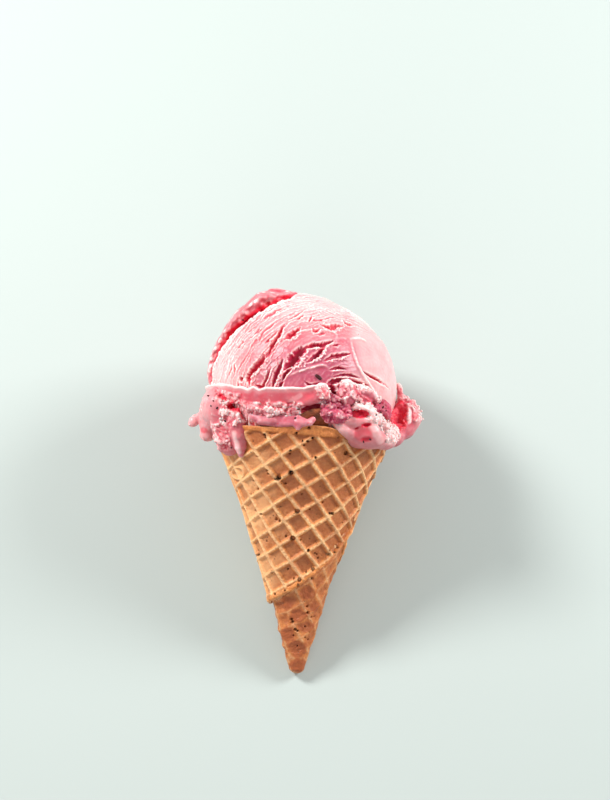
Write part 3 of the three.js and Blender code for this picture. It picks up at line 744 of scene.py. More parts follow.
# %% Inner lip
LIP_FROM, LIP_TO, LIP_COLUMNS, LIP_SIDES = -3, 17, 90, 48
ARCH_A, ARCH_WIDE, ARCH_H = 9, 13, 3.6
LIP_OVER, LIP_UNDER, LIP_THICK, LIP_LEAN = 3.2, 4, 0.8, 0.204

a = np.linspace(LIP_FROM, LIP_TO, LIP_COLUMNS)[:, None]
turn = np.linspace(0, 2 * np.pi, LIP_SIDES, endpoint=False)[None]
top, low = RIM_Y + LIP_OVER + ARCH_H * (1 - ((a - ARCH_A) / ARCH_WIDE) ** 2), RIM_Y - LIP_UNDER
y = (top + low) / 2 + (top - low) / 2 * np.sign(np.sin(turn)) * np.abs(np.sin(turn)) ** 0.6
r = hollow_at(y) + 0.15 + LIP_LEAN * np.clip(y - RIM_Y, 0, 9) + LIP_THICK * np.cos(turn)
points = around(r, y, a).reshape(-1, 3)
points += 0.25 * noise(points, 1.6, 17)[:, None]
middle = (top + low)[[0, -1], 0] / 2
points = np.concatenate([points, around(hollow_at(middle), middle, a[[0, -1], 0])])
faces = outward(points, tube_faces(LIP_COLUMNS, LIP_SIDES))
even = np.ones(len(points))
# A noise darkens the whole lip through the pore mark.
dark = np.clip(0.3 + 0.5 * noise(points, 2.5, 16), 0, 0.7)
piece("inner_lip", points, faces, wafer, WAFER_NODE, rib=0.105 * even, brown=even, pore=dark)

# %% [markdown]
# ## The scoop
#
# A scoop drags through the ice cream and rolls it up. That leaves arcs all about one point, low on the
# right of the shown side, and where the ice cream was too cold to stretch it tore. So the ball gets three
# kinds of relief: shingled ridges along those arcs, grooves where it tore, with one raised ragged lip, and
# smooth patches where the steel pressed it. The ball is a cube whose faces are blown up to a sphere, so it
# has no poles, and its points are drawn closer together on the shown side.

# %% Directions over a ball
def ball(n, towards=(0, 0, 1), pinch=1.0):
    """A cube's faces, n squares to an edge, blown up to a sphere. With pinch under 1 the points crowd
    towards one direction: the tangent of half the angle to it is multiplied by pinch."""
    one, two = np.meshgrid(np.arange(n + 1), np.arange(n + 1), indexing="ij")
    i = np.arange((n + 1) ** 2).reshape(n + 1, n + 1)
    square = np.stack([i[:-1, :-1], i[1:, :-1], i[1:, 1:], i[:-1, 1:]], -1).reshape(-1, 4)
    lattice, faces = [], []
    for axis, end in itertools.product(range(3), (0, n)):
        side = np.empty((n + 1, n + 1, 3), int)
        side[..., axis], side[..., (axis + 1) % 3], side[..., (axis + 2) % 3] = end, one, two
        faces.append((square if end else square[:, ::-1]) + len(lattice) * (n + 1) ** 2)
        lattice.append(side.reshape(-1, 3))
    lattice = np.concatenate(lattice)
    _, first, shared = np.unique(lattice @ [1, n + 1, (n + 1) ** 2], return_index=True, return_inverse=True)
    out = unit(np.tan((lattice[first] / n * 2 - 1) * math.pi / 4))
    pole = unit(towards)
    z = out @ pole
    far = pinch**2 * (1 - z)
    new_z = (1 + z - far) / (1 + z + far)
    flat = unit(out - z[:, None] * pole)
    out = new_z[:, None] * pole + np.sqrt(np.maximum(1 - new_z**2, 0))[:, None] * flat
    return out, shared.ravel()[np.concatenate(faces)]


# %% [markdown]
# A tear or a ridge is told by its path: a few places in the front view, which are put on the ball and
# joined by a smooth curve. Its section then follows from each point's distance to that path.

# %% Paths over the ball
SCOOP_R = 34.9
SCOOP_MIDDLE = np.array([0, 108.2, 0])


def on_scoop(places):
    """Places given as x and y in the front view, put on the ball: z is the root of what x and y leave."""
    flat = np.array(places, float) - SCOOP_MIDDLE[:2]
    z = np.sqrt(np.maximum(SCOOP_R**2 - (flat**2).sum(-1), 0))
    return SCOOP_MIDDLE + unit(np.column_stack([flat, z])) * SCOOP_R


def smooth_path(knots, count):
    """A curve through every knot: each stretch leaves a knot along the line between its neighbours."""
    knots = np.asarray(knots, float)
    padded = np.concatenate([2 * knots[:1] - knots[1:2], knots, 2 * knots[-1:] - knots[-2:-1]])
    at = np.linspace(0, len(knots) - 1, count)
    k = np.minimum(at.astype(int), len(knots) - 2)
    t = (at - k)[:, None]
    a, b, c, d = (padded[k + i] for i in range(4))
    return 0.5 * (2 * b + (c - a) * t + (2 * a - 5 * b + 4 * c - d) * t**2 + (3 * b - a - 3 * c + d) * t**3)


def from_path(points, path):
    """For each point: its distance to the path, how far along it is, and its side, seen from outside."""
    away, along, side = np.full(len(points), 99.0), np.zeros(len(points)), np.ones(len(points))
    for k, (start, end) in enumerate(zip(path[:-1], path[1:])):
        way = end - start
        t = np.clip((points - start) @ way / (way @ way), 0, 1)
        off = points - start - t[:, None] * way
        distance = np.linalg.norm(off, axis=1)
        nearer = distance < away
        away = np.where(nearer, distance, away)
        along = np.where(nearer, (k + t) / (len(path) - 1), along)
        turned = (np.cross(way, off) * (points - SCOOP_MIDDLE)).sum(1)
        side = np.where(nearer, np.sign(turned), side)
    return away, along, side


def runs_out(along, margin):
    """The root of a sine along the path: 1 over most of it, and falling steeply at both ends."""
    return np.sqrt(np.clip(np.sin(np.pi * np.clip(along, margin, 1 - margin)), 0, 1))


# %% [markdown]
# The table gives each tear of the shown side: places in the front view, then width, depth and the height
# of its ragged lip. Some of them come once more on the back, turned round the ball's axis. The second
# table gives lines that stand up, with their width and height.

# %% Tears and raised lines
TEARS = [
    (
        [(-13.4, 118.0), (-12.4, 121.0), (-11.2, 123.2), (-9.6, 125.6), (-8.6, 128.2), (-7.5, 129.9)],
        1.9, 1.9, 0.5,
    ),
    ([(-7.4, 124.5), (-4.6, 126.3), (-1.8, 129.0)], 2.7, 2.1, 0.4),
    ([(-19.4, 107.0), (-20.0, 110.4), (-17.9, 113.6), (-15.4, 116.4), (-14.7, 118.6)], 2.7, 2.4, 0.4),
    ([(-11.4, 106.4), (-10.3, 110.6), (-9.3, 113.2), (-7.8, 116.8)], 2.1, 2.2, 0.5),
    ([(-9.0, 106.2), (-8.2, 107.9), (-7.4, 109.0)], 1.3, 1.5, 0.3),
    ([(-7.0, 113.6), (-4.7, 116.2), (-2.2, 119.4), (0.8, 121.8)], 4.2, 3.2, 0.6),
    ([(1.2, 116.3), (3.8, 118.4), (5.9, 120.4), (7.8, 123.2)], 2.1, 2.3, 0.7),
    ([(7.2, 116.9), (10.4, 118.5), (13.4, 119.2), (16.6, 119.8)], 1.8, 2.0, 0.5),
    ([(9.2, 113.6), (12.2, 114.5), (15.4, 114.0)], 1.2, 1.4, 0.3),
    ([(10.4, 111.0), (13.6, 111.9), (17.0, 112.0), (20.4, 111.0)], 1.1, 1.4, 0.5),
    ([(9.4, 109.2), (11.0, 105.6), (14.4, 101.2)], 3.4, 3.2, 0.4),
    ([(-1.0, 98.2), (3.0, 99.4), (9.4, 100.2)], 5.0, 3.4, 0.1),
    ([(21.4, 113.6), (25.7, 111.3), (31.8, 107.5)], 1.3, 1.6, 0.3),
    ([(5.8, 130.5), (9.2, 129.6), (12.0, 130.4), (14.2, 130.7)], 3.0, 1.8, 0.4),
    ([(14.6, 133.2), (15.8, 131.9), (18.4, 131.3)], 2.2, 1.5, 0.3),
    ([(2.8, 129.0), (4.0, 127.9), (5.6, 128.7)], 1.8, 1.3, 0.3),
    ([(-29.6, 118.8), (-25.9, 123.5)], 0.9, 0.9, 0.3),
    ([(-21.5, 126.0), (-17.9, 129.1)], 1.1, 1.0, 0.3),
    ([(-25.1, 111.3), (-25.6, 115.0)], 1.2, 1.1, 0.3),
    ([(-23.5, 120.1), (-21.4, 123.0)], 0.9, 0.9, 0.3),
    ([(-17.8, 126.3), (-15.6, 128.1)], 1.1, 1.0, 0.3),
    ([(0.6, 137.4), (3.1, 136.7)], 1.0, 0.8, 0.2),
    ([(7.2, 136.3), (11.6, 135.0)], 1.1, 0.8, 0.2),
    ([(-3.3, 131.7), (-0.5, 134.0)], 1.2, 1.0, 0.3),
    ([(-23.4, 109.4), (-22.2, 109.9)], 2.2, 2.6, 0.4),
    ([(20.1, 127.9), (20.5, 127.6)], 0.9, 1.2, 0.1),
    ([(-6.8, 131.1), (-3.6, 133.6), (-0.2, 136.1)], 1.4, 1.0, 0.4),
    ([(-0.6, 121.4), (3.0, 122.4), (6.4, 122.8), (10.4, 124.4)], 2.1, 2.4, 0.6),
    ([(-7.5, 109.6), (-6.4, 112.2), (-4.4, 113.9)], 1.7, 2.0, 0.5),
    ([(-15.4, 106.8), (-13.6, 109.6), (-12.0, 113.8)], 1.1, 1.1, 0.3),
    ([(-17.4, 107.6), (-15.2, 106.8), (-14.0, 108.2)], 1.5, 1.6, 0.2),
    ([(8.6, 108.4), (11.2, 109.6), (15.0, 110.5)], 2.0, 2.6, 0.2),
    ([(17.4, 110.2), (20.2, 109.3), (23.8, 108.4)], 1.3, 2.0, 0.2),
    ([(0.4, 109.1), (2.6, 108.0), (6.2, 109.0)], 1.1, 1.3, 0.2),
    ([(4.2, 126.4), (7.6, 127.3)], 1.4, 0.7, 0.2),
    ([(4.0, 132.1), (7.4, 133.0), (10.6, 134.0), (12.8, 133.4)], 1.0, 0.9, 0.3),
    ([(1.3, 131.0), (2.5, 133.8)], 1.0, 0.9, 0.2),
    ([(10.2, 122.5), (12.8, 123.2)], 1.1, 0.9, 0.2),
    ([(-14.8, 132.4), (-11.6, 133.8), (-8.4, 135.6), (-6.8, 136.5)], 1.2, 0.8, 0.3),
    ([(-20.4, 124.4), (-18.6, 125.6), (-16.2, 128.8)], 1.0, 1.0, 0.3),
]
RAISED = [
    ([(17.1, 125.3), (18.1, 119.8), (20.8, 113.6), (25.3, 106.9), (29.0, 101.8)], 1.3, 0.75),
    ([(17.2, 125.5), (20.6, 126.1), (23.1, 125.2)], 1.1, 0.6),
    ([(-5.8, 111.0), (-1.4, 112.9), (2.6, 114.2), (6.2, 115.3), (8.4, 114.7)], 1.1, 0.7),
    ([(-17.2, 135.0), (-15.6, 136.4), (-13.6, 136.2)], 2.2, 1.0),
    ([(-10.8, 121.0), (-7.8, 124.7), (-0.7, 127.6), (5.1, 128.4), (11.2, 127.1), (11.4, 124.7)], 1.0, 0.5),
]
BACK_TEARS, BACK_TURN = [0, 1, 4, 5, 7, 10, 11], math.radians(197)
SCOOP_SQUARES, CROWD_AT, CROWD = 127, (-0.1, 0.3, 1), 0.66
LIP_AT, LIP_WIDE = 1.45, 0.42


def tear(points, path, wide, deep, lip, seed):
    """A slit: an S-curve of the distance over the half width, which is ragged and runs out at both ends.
    On the lower right side a ragged lip rises, as a hill beyond the brim. Gives the slit and the lip."""
    reach = np.linalg.norm(path - path.mean(0), axis=1).max() + 2.5 * wide + 2
    near = np.linalg.norm(points - path.mean(0), axis=1) < reach
    cut, rise = np.zeros(len(points)), np.zeros(len(points))
    p = points[near]
    away, along, side = from_path(p, path)
    taper = runs_out(along, 0.03)
    x = away / (0.5 * wide * taper * (1 + uneven(p, (0.45, 1.3, seed), (0.3, 0.6, seed + 1))) + 0.05)
    cut[near] = deep * taper * (1 - ease_step(0.35, 1.1, x))
    rise[near] = lip * taper * hill(x - LIP_AT, LIP_WIDE) * (side < 0) * (0.9 + 0.9 * noise(p, 0.7, seed + 2))
    return cut, rise


out, scoop_faces = ball(SCOOP_SQUARES, CROWD_AT, CROWD)
points = SCOOP_MIDDLE + SCOOP_R * out
x, y, z = points.T
c, s = math.cos(BACK_TURN), math.sin(BACK_TURN)
cut, rise = np.zeros(len(points)), np.zeros(len(points))
for index, (places, wide, deep, lip) in enumerate(TEARS):
    paths = [smooth_path(on_scoop(places), 4 * len(places))]
    if index in BACK_TEARS:
        paths.append((paths[0] - SCOOP_MIDDLE) @ np.array([[c, 0, -s], [0, 1, 0], [s, 0, c]]) + SCOOP_MIDDLE)
    for path in paths:
        one, two = tear(points, path, wide, deep, lip, 40 + index)
        cut, rise = np.maximum(cut, one), np.maximum(rise, two)
for index, (places, wide, high) in enumerate(RAISED):
    away, along, side = from_path(points, smooth_path(on_scoop(places), 5 * len(places)))
    rise += high * runs_out(along, 0.02) * hill(away, 0.5 * wide) * (0.8 + 0.4 * noise(points, 1.2, 70 + index))
print(len(TEARS), "tears, the deepest", round(cut.max(), 1), "mm")

# %% [markdown]
# The arcs show most on the left and at the top, and least in the patch that the steel pressed. Along them
# the ice cream lies in shingles: the distance from the arcs' common point, made uneven, is cut into equal
# steps, and each step rises slowly and drops at once. Long thin slits open between some of them.

# %% Shingles along the arcs
SWEEP_FROM = unit([17.7, -11.3, 27.9])
SHINGLE, ARC_LENGTH, SLIT_DEEP, SHINGLE_H = 1.8, 8, 0.9, 0.5

left, top, behind = ease_step(-4, -16, x - 0.25 * (y - 118)), ease_step(126, 133, y), ease_step(4, -8, z)
strength = np.clip(0.18 + 0.85 * left + 0.6 * top + 0.5 * behind, 0, 1)
pressed = ease_step(15, 19, x) * ease_step(132, 126, y) * ease_step(-2, 6, z)
strength *= (1 - 0.85 * pressed) * np.clip(0.75 + 0.7 * noise(points, 7, 80), 0.25, 1)
turned = SCOOP_R * np.arccos(np.clip(out @ SWEEP_FROM, -1, 1))
one = unit(np.cross(SWEEP_FROM, [0, 1, 0]))
two = np.cross(SWEEP_FROM, one)
arc = np.stack([turned / SHINGLE, out @ one * SCOOP_R / ARC_LENGTH, out @ two * SCOOP_R / ARC_LENGTH], -1)
arc = arc + 0.35 * noise(points, 2.2, 81)[:, None]
ridge = 0.5 - (arc[:, 0] + 1.3 * noise(arc, 2.2, 82)) % 1.0 + 0.25 * noise(points, 0.8, 83)
slit = ease_step(0.34, 0.62, noise(arc * [0.8, 0.7, 0.7], 1, 85)) * strength
height = strength * (SHINGLE_H * ridge + 0.14 * noise(arc * [2.1, 1.6, 1.6], 1, 84)) - SLIT_DEEP * slit
height += 0.4 * noise(points, 9, 86) + (0.06 + 0.1 * strength) * noise(points, 1.1, 87)
open_cut = np.clip(cut / 0.6, 0, 1)
height = height * (1 - 0.6 * open_cut) - cut + rise + open_cut * 0.35 * grain(points, 1.1, 88)

# %% [markdown]
# On the upper left a fold of ice cream stands off the ball, with a gap before it that gets a painted red
# shade. Both follow the outline, so their edges are given by two angles: one about the view's axis, from
# the right round to the left, and one away from that axis.

# %% The gap before the fold
FOLD_ALONG = [95, 100, 105, 111, 118, 125, 135, 150, 165, 176, 184]
FOLD_EDGE = [82, 77, 74, 72, 71, 71, 73, 78, 81, 82, 82]
GAP_EDGE = [78, 69, 65.5, 63.5, 63, 62.5, 62, 66.5, 74.5, 82, 88]
FOLD_OUT = [34.6, 35.3, 35.9, 37.5, 38.5, 37.5, 37.1, 36.2, 36.5, 36.2, 35.2]
FOLD_BACK, FOLD_FOOT, GAP_DEEP = 101, 33.2, 1.8


def round_ball(points):
    """Angle about the ball's middle in the front view, angle from the view's axis, and distance."""
    off = points - SCOOP_MIDDLE
    away = np.linalg.norm(off, axis=1)
    about = np.degrees(np.arctan2(off[:, 1], off[:, 0]))
    tilt = np.degrees(np.arccos(np.clip(off[:, 2] / away, -1, 1)))
    return np.where(about < -90, about + 360, about), tilt, away


about, tilt, away = round_ball(points)
from_edge = np.radians(tilt - np.interp(about, FOLD_ALONG, GAP_EDGE)) * SCOOP_R
from_edge += uneven(points, (1.1, 1.5, 34), (0.5, 0.7, 35))
along = ease_step(FOLD_ALONG[0] + 1, FOLD_ALONG[1] + 2, about)
along = along * ease_step(FOLD_ALONG[-2], FOLD_ALONG[-2] - 8, about)
gap = along * ease_step(-0.2, 0.7, from_edge) * ease_step(FOLD_BACK, FOLD_BACK - 5, tilt)
edge = along * hill(from_edge + 0.8, 1.0)
height += 0.5 * edge * (1 + 0.8 * noise(points, 1.0, 36)) - GAP_DEEP * gap
# Painted red shade down in the tears, the slits and the gap before the fold.
deep = np.clip(np.clip(0.45 * cut, 0, 1) * 0.95 + 0.45 * slit + gap, 0, 1)
torn = np.clip(strength * 0.7 * ease_step(0.1, 0.5, ridge) + rise * 1.3 + edge, 0, 1)

# %% [markdown]
# The steel also flattened the ball a little at its upper right, in a wide and shallow dip. The left, the top
# and the right are paler, partly frost and partly painted light where the lamps fall, and the middle of the
# shown side has more fruit, which there also stands for painted shade.

# %% The scoop's surface
FLAT_AT, FLAT_WIDE, FLAT_DEEP = unit([0.55, 0.83, 0.1]), 0.62, 2.3


def from_middle(points, x_at, wide, tall):
    """How far a place is from the ball's middle in the front view, as a share of a leaning oval."""
    x, y = points.T[:2]
    return np.hypot((x - x_at - 0.3 * (y - 112)) / wide, (y - 112) / tall)


flattened = FLAT_DEEP * hill(np.arccos(np.clip(out @ FLAT_AT, -1, 1)), FLAT_WIDE)
points = SCOOP_MIDDLE + out * (SCOOP_R - flattened + height)[:, None]
x, y, z = points.T
# Partly painted light: paler away from the middle, at the top, on the right and on the left.
frost_and_painted_light = 0.2 * ease_step(0.5, 1.9, from_middle(points, 3, 15, 10) + 0.25 * noise(points, 6, 89))
frost_and_painted_light += 0.3 * ease_step(128, 136, y) + (0.35 * ease_step(15, 22, x) + 0.4 * ease_step(-19, -30, x))
pale = np.clip(np.clip(frost_and_painted_light + 0.15 * noise(points, 5, 79), 0, 1) + 0.35 * torn, 0, 1)
# More fruit in the middle, which also darkens it as painted shade.
fruit_and_painted_shade = 0.7 * ease_step(1.6, 0.6, from_middle(points, 4, 17, 11)) * (z > 0)
tint = (0.15 + fruit_and_painted_shade) * ease_step(-30, -26, x + 0.4 * (y - 128))
skins = []


def cream(name, points, faces, deep, torn, pale, tint=0.0, finish=smooth_cream):
    """Makes a piece of ice cream, with its hollows marked, and keeps its points for what sticks to it."""
    skins.append((points, normals(points, faces), torn, np.where(deep > 0.4, 0, pale)))
    tint = tint + np.zeros(len(points))
    # The hollow mark gives the material its painted red shade in hollows.
    marks = {"hollow": hollows(points, faces, 9), "torn": torn, "deep": deep, "pale": pale, "tint": tint}
    piece(name, points, faces, finish, ICE_NODE, **marks)


cream("scoop", points, scoop_faces, deep, torn, pale, tint)

# %% [markdown]
# ## Lumps as volumes
#
# Torn ice cream has overhangs, deep holes and crumbs, so its lumps are made as volumes. A lump is a
# formula that tells how far any place is from its skin, less than 0 inside. Eggs, rods and bars are melted
# into one another, holes are taken away, and noise is added where it was torn. The box round the lump is
# then filled with a lattice, and the skin is put where the formula crosses 0.

# %% Distances
def egg(points, middle, radii, turn=0):
    """About how far a point is outside an egg with a middle, radii and a turn in degrees: its length over
    the radii, times as much less 1, over its length over their squares."""
    off = points - middle
    c, s = math.cos(math.radians(turn)), math.sin(math.radians(turn))
    off = np.stack([off[:, 0] * c + off[:, 1] * s, off[:, 1] * c - off[:, 0] * s, off[:, 2]], -1)
    scaled = np.linalg.norm(off / radii, axis=1)
    return scaled * (scaled - 1) / np.maximum(np.linalg.norm(off / np.square(radii), axis=1), 1e-9)


def rod(points, *knots):
    """Distance to a rod through knots of x, y, z and radius: to its line, less the radius there."""
    nearest = np.full(len(points), 99.0)
    for start, end in zip(np.array(knots[:-1], float), np.array(knots[1:], float)):
        way = end[:3] - start[:3]
        t = np.clip((points - start[:3]) @ way / (way @ way), 0, 1)
        off = points - start[:3] - t[:, None] * way
        nearest = np.minimum(nearest, np.linalg.norm(off, axis=1) - start[3] - t * (end[3] - start[3]))
    return nearest


def bar(radius, *beyond):
    """Distance to a bar with rounded edges, from how far a place is beyond its faces in three directions."""
    past = np.stack(beyond) + radius
    return np.linalg.norm(np.maximum(past, 0), axis=0) + np.minimum(past.max(0), 0) - radius


def melted(melt, *parts):
    """Distances blended into one body, rounded over about melt millimetres: less the log of the sum of e
    to the minus distance."""
    apart = np.stack(parts)
    lowest = apart.min(0)
    return lowest - melt * np.log(np.exp(-(apart - lowest) / melt).sum(0))


def without(body, *holes, melt=0.4):
    """The body with the holes taken away, their edges rounded over about melt millimetres."""
    for hole in holes:
        body = -melted(melt, -body, hole)
    return body


# %% [markdown]
# The skin is found cell by cell. It is smooth and even enough for soft lumps and still has all the small
# holes of torn ones. Loose crumbs that chance cut off the lump are left out again.

# %% The skin of a volume
def skin_of(field, low, high, step):
    """The skin where field(points) is 0, in a box from low to high.

    Each cell of the lattice that the skin runs through gets one point: the mean of the places where its
    edges cross the skin. Each lattice edge that crosses it gets one face, from the four cells round it."""
    low = np.array(low, float)
    size = np.ceil((np.array(high) - low) / step).astype(int) + 1
    lattice = np.stack(np.meshgrid(*[np.arange(n) for n in size], indexing="ij"), -1)
    value = field(low + step * lattice.reshape(-1, 3)).reshape(size)
    # The box's own walls are outside, so that the skin is closed.
    for axis, end in itertools.product(range(3), (0, -1)):
        edge = np.moveaxis(value, axis, 0)
        edge[end] = np.maximum(edge[end], 0.05)
    total, count = np.zeros((*(size - 1), 3)), np.zeros(size - 1)
    cells = np.arange(count.size).reshape(count.shape)
    faces = []
    for axis in range(3):
        turned = [axis, (axis + 1) % 3, (axis + 2) % 3]
        v = value.transpose(turned)
        a, b = v[:-1], v[1:]
        cross = (a < 0) != (b < 0)
        place = lattice.transpose(*turned, 3)[:-1].astype(float)
        place[..., axis] += np.where(cross, a / np.where(cross, a - b, 1), 0)
        place *= cross[..., None]
        sums, counts = total.transpose(*turned, 3), count.transpose(turned)
        for i, j in itertools.product((0, 1), repeat=2):
            part = (slice(None), slice(i, cross.shape[1] - 1 + i), slice(j, cross.shape[2] - 1 + j))
            sums += place[part]
            counts += cross[part]
        c, inner = cells.transpose(turned), cross[:, 1:-1, 1:-1]
        four = np.stack([c[:, :-1, :-1], c[:, 1:, :-1], c[:, 1:, 1:], c[:, :-1, 1:]], -1)[inner]
        leaving = (a[:, 1:-1, 1:-1] < 0)[inner]
        faces.append(np.where(leaving[:, None], four, four[:, ::-1]))
    used = count.ravel() > 0
    number = np.cumsum(used) - 1
    points = low + step * (total.reshape(-1, 3)[used] / count.ravel()[used][:, None])
    return points, number[np.concatenate(faces)]


def largest(points, faces):
    """Leaves out loose crumbs: every point takes the lowest number in its faces, again and again."""
    label = np.arange(len(points))
    while True:
        before = label.copy()
        np.minimum.at(label, faces.ravel(), np.repeat(label[faces].min(1), 4))
        label = label[label]
        if (label == before).all():
            break
    body = label == np.bincount(label).argmax()
    number = np.cumsum(body) - 1
    return points[body], number[faces[body[faces].all(1)]]


# %% [markdown]
# `lump` makes one lump from up to four formulas: its body, where it is torn, where it is pale and where it
# is deep. Torn skin gets flakes and grains that stand out by a millimetre or more. The ones that stand out
# most are frosty, and paler still on the side that faces the key lamp, which is painted light. The creases
# between them get a painted red shade.

# %% Lumps of ice cream
# Where the key lamp stands: torn skin that faces it gets painted light.
PAINTED_LIGHT_FROM = unit([-0.25, 0.5, 0.83])
NEAR_SKIN, TORN_FROM = 2.6, 0.7

always = lambda amount: lambda p: np.full(len(p), amount)
nowhere = lambda p: 0


def crumbly(points, seed):
    """How far torn ice cream stands out: soft lumps, then crisp flakes and grains of three sizes."""
    out = 1.0 * noise(points, 3.4, seed) + 1.25 * (grain(points, 2.5, seed + 1) - 0.45)
    return out + (0.75 * (grain(points, 1.3, seed + 2) - 0.45) + 0.4 * noise(points, 0.8, seed + 3))


def lump(name, low, high, body, torn_at, seed, pale_at=nowhere, deep_at=nowhere, tint=0.0, step=0.3, rough=1.0):
    """One lump in a box: its body's distance, less crumbs where it is torn and soft waves elsewhere."""
    def torn_in(p):
        """An S-curve of the torn share plus a noise, so that torn places have ragged edges."""
        return ease_step(0.2, 0.8, torn_at(p) + 0.3 * noise(p, 3.1, seed + 9))

    def field(points):
        """The body's distance, with the relief taken off where the skin is near."""
        value = body(points)
        near = np.abs(value) < NEAR_SKIN
        p = points[near]
        torn = torn_in(p)
        soft = uneven(p, (0.28, 4, seed + 7), (0.07, 1.3, seed + 8))
        value[near] -= rough * torn * crumbly(p, seed) + (1 - torn) * soft
        return value

    points, faces = largest(*skin_of(field, low, high, step))
    torn, above = torn_in(points), body(points)
    # Painted light: torn skin is paler on the side that faces the key lamp.
    lit = 0.35 + 0.65 * ease_step(-0.5, 0.5, normals(points, faces) @ PAINTED_LIGHT_FROM)
    pale = np.clip(torn * lit * ease_step(-0.2, 1.0, above) + pale_at(points), 0, 1)
    # Painted red shade in the creases that lie below the body.
    deep = np.clip(0.55 * torn * ease_step(-0.2, -1.3, above) + deep_at(points), 0, 1)
    cream(name, points, faces, deep, torn, pale, tint, torn_cream if rough >= TORN_FROM else smooth_cream)


# %% [markdown]
# ## The fold and the ledge
#
# The scoop's edge turned up a sheet of ice cream on the upper left, the fold. Its section is a rounded bar,
# bent round the ball: the way along it is the angle about the view's axis, and the way across it is the
# angle from that axis. It carries white beads of frost on the shown side, and its foot gets a painted red
# shade.

# %% Fold at the upper left
def fold_body(points):
    """A bar between the two angles and two radii, which behind thins out and runs into the ball."""
    about, tilt, away = round_ball(points)
    edge = np.interp(about, FOLD_ALONG, FOLD_EDGE) + 1.6 * noise(points, 2.4, 91)
    out = np.interp(about, FOLD_ALONG, FOLD_OUT)
    out -= (out - 34.3) * ease_step(88, 101, tilt + 4 * noise(points, 7, 89))
    middle, thick, half = (out + FOLD_FOOT) / 2, (out - FOLD_FOOT) / 2, 0.5 * (FOLD_BACK - edge)
    across = np.abs(tilt - edge - half) - half
    beyond = np.maximum(about - FOLD_ALONG[-1], FOLD_ALONG[0] - about)
    turned_up = bar(0.9, np.radians(across) * away, np.abs(away - middle) - thick, np.radians(beyond) * 35)
    knob = rod(points, (-13.3, 143.2, 3, 0.5), (-10.0, 143.5, 3, 0.6), (-6.2, 142.2, 3, 0.5))
    return melted(0.3, turned_up, knob)


def beads(p):
    """Grains' middles, in some patches of the shown side."""
    share = 0.9 * ease_step(0.42, 0.62, grain(p, 2.0, 96)) * ease_step(-0.2, 0.2, noise(p, 6, 97))
    return share * ease_step(-5, 1, p[:, 2])


def fold_deep(p):
    """Painted red shade at the foot, where the distance from the ball's middle is least."""
    foot = ease_step(35.6, 34.4, np.linalg.norm(p - SCOOP_MIDDLE, axis=1))
    return 0.15 * noise(p, 4, 95) + 0.95 * foot * (p[:, 2] > 1)


lump("fold", (-40, 103, -9), (0, 148, 14), fold_body, always(0.2), 90, beads, fold_deep)

# %% [markdown]
# Round the front runs the ledge, a sheet that the scoop pressed down. Its crest is a thin pale line, it is
# broken at its right end, with a flap, and its lower edge is torn.

# %% Ledge along the front
CREST = np.array([
    (-36.2, 106.6), (-34.0, 107.4), (-31.1, 107.6), (-28.0, 107.4), (-25.0, 106.8), (-22.6, 106.7),
    (-20.0, 105.9), (-18.2, 107.0), (-16.0, 105.9), (-13.4, 106.7), (-9.0, 106.6), (-4.0, 106.9),
    (0.4, 106.9), (2.0, 107.4), (4.0, 107.9), (6.4, 108.2), (8.0, 108.8), (9.0, 107.4),
    (9.6, 104.0),
]).T
LEDGE_R, LEDGE_END_X, LEDGE_FOOT_Y = 34.6, 9.4, 100.2


def under_crest(p):
    """How far a place lies under the crest, which runs in straight lines from knot to knot."""
    return np.interp(p[:, 0], *CREST) - p[:, 1]


def ledge_body(points):
    """A bar bent round the ball, thicker at the top, with a thin rod for its crest. Right of the middle it
    ends at a slanting line."""
    x, y, z = points.T
    away = np.linalg.norm(points - SCOOP_MIDDLE, axis=1)
    below = under_crest(points)
    thick = np.abs(away - LEDGE_R) - 1.75 - 0.10 * np.clip(3.5 - below, -3, 3)
    slanting = x - LEDGE_END_X + 0.5 * below + 0.7 * noise(points, 2.0, 99)
    sheet = bar(0.5, thick, np.abs(below - 3.3) - 3.3, slanting)
    crest = np.maximum(np.hypot(away - 36.5, below - 0.1) - 0.27 - 0.14 * noise(points, 1.9, 94), x - 7.6)
    flap = egg(points, (2.6, 102.9, 33.9), (6.2, 2.3, 2.6), 32)
    broken_end = egg(points, (6.6, 105.8, 34.4), (3.0, 1.9, 2.6), -48)
    whole = np.maximum(melted(0.35, sheet, crest, flap, broken_end), 2 - z)
    under = LEDGE_FOOT_Y + 0.12 * np.clip(x, 0, 10) - y + 0.6 * noise(points, 1.8, 98)
    return np.where(x > -1, -melted(0.4, -whole, -under), whole)


def ledge_torn(p):
    """Torn along its foot, at its left end under the crest, and at its right end."""
    x, y = p.T[:2]
    foot = ease_step(102.6, 100.6, y) * ease_step(2, -2, x)
    left = 0.8 * ease_step(-20, -24, x) * ease_step(-33, -30, x) * ease_step(1.6, 2.6, under_crest(p))
    return np.maximum.reduce([foot, left, 0.75 * ease_step(3.6, 6.4, x + 1.5 * noise(p, 2.5, 94))])


def ledge_pale(p):
    """A line along the crest, specks of frost below it, a streak, and the left end."""
    below = under_crest(p)
    line = ease_step(0.8, 0.0, below) * (0.7 + 0.7 * noise(p, 1.7, 92)) + 0.3 * ease_step(2.4, 0.8, below)
    specks = 0.7 * ease_step(0.62, 0.8, grain(p, 1.7, 88)) * ease_step(1.5, 4.5, below)
    streak = 0.3 * ease_step(0.9, 0.2, rod(p, (-5.4, 101.4, 36, 0.3), (-1.0, 104.2, 36, 0.3)))
    return line + specks * ease_step(-0.1, 0.3, noise(p, 5, 87)) + streak + 0.35 * ease_step(-26, -32, p[:, 0])


def ledge_deep(p):
    """Painted shade: a little redder from the crest down the face, which looks down, by a noise."""
    return 0.22 * ease_step(0.8, 2.6, under_crest(p)) * (1 + noise(p, 3, 93))


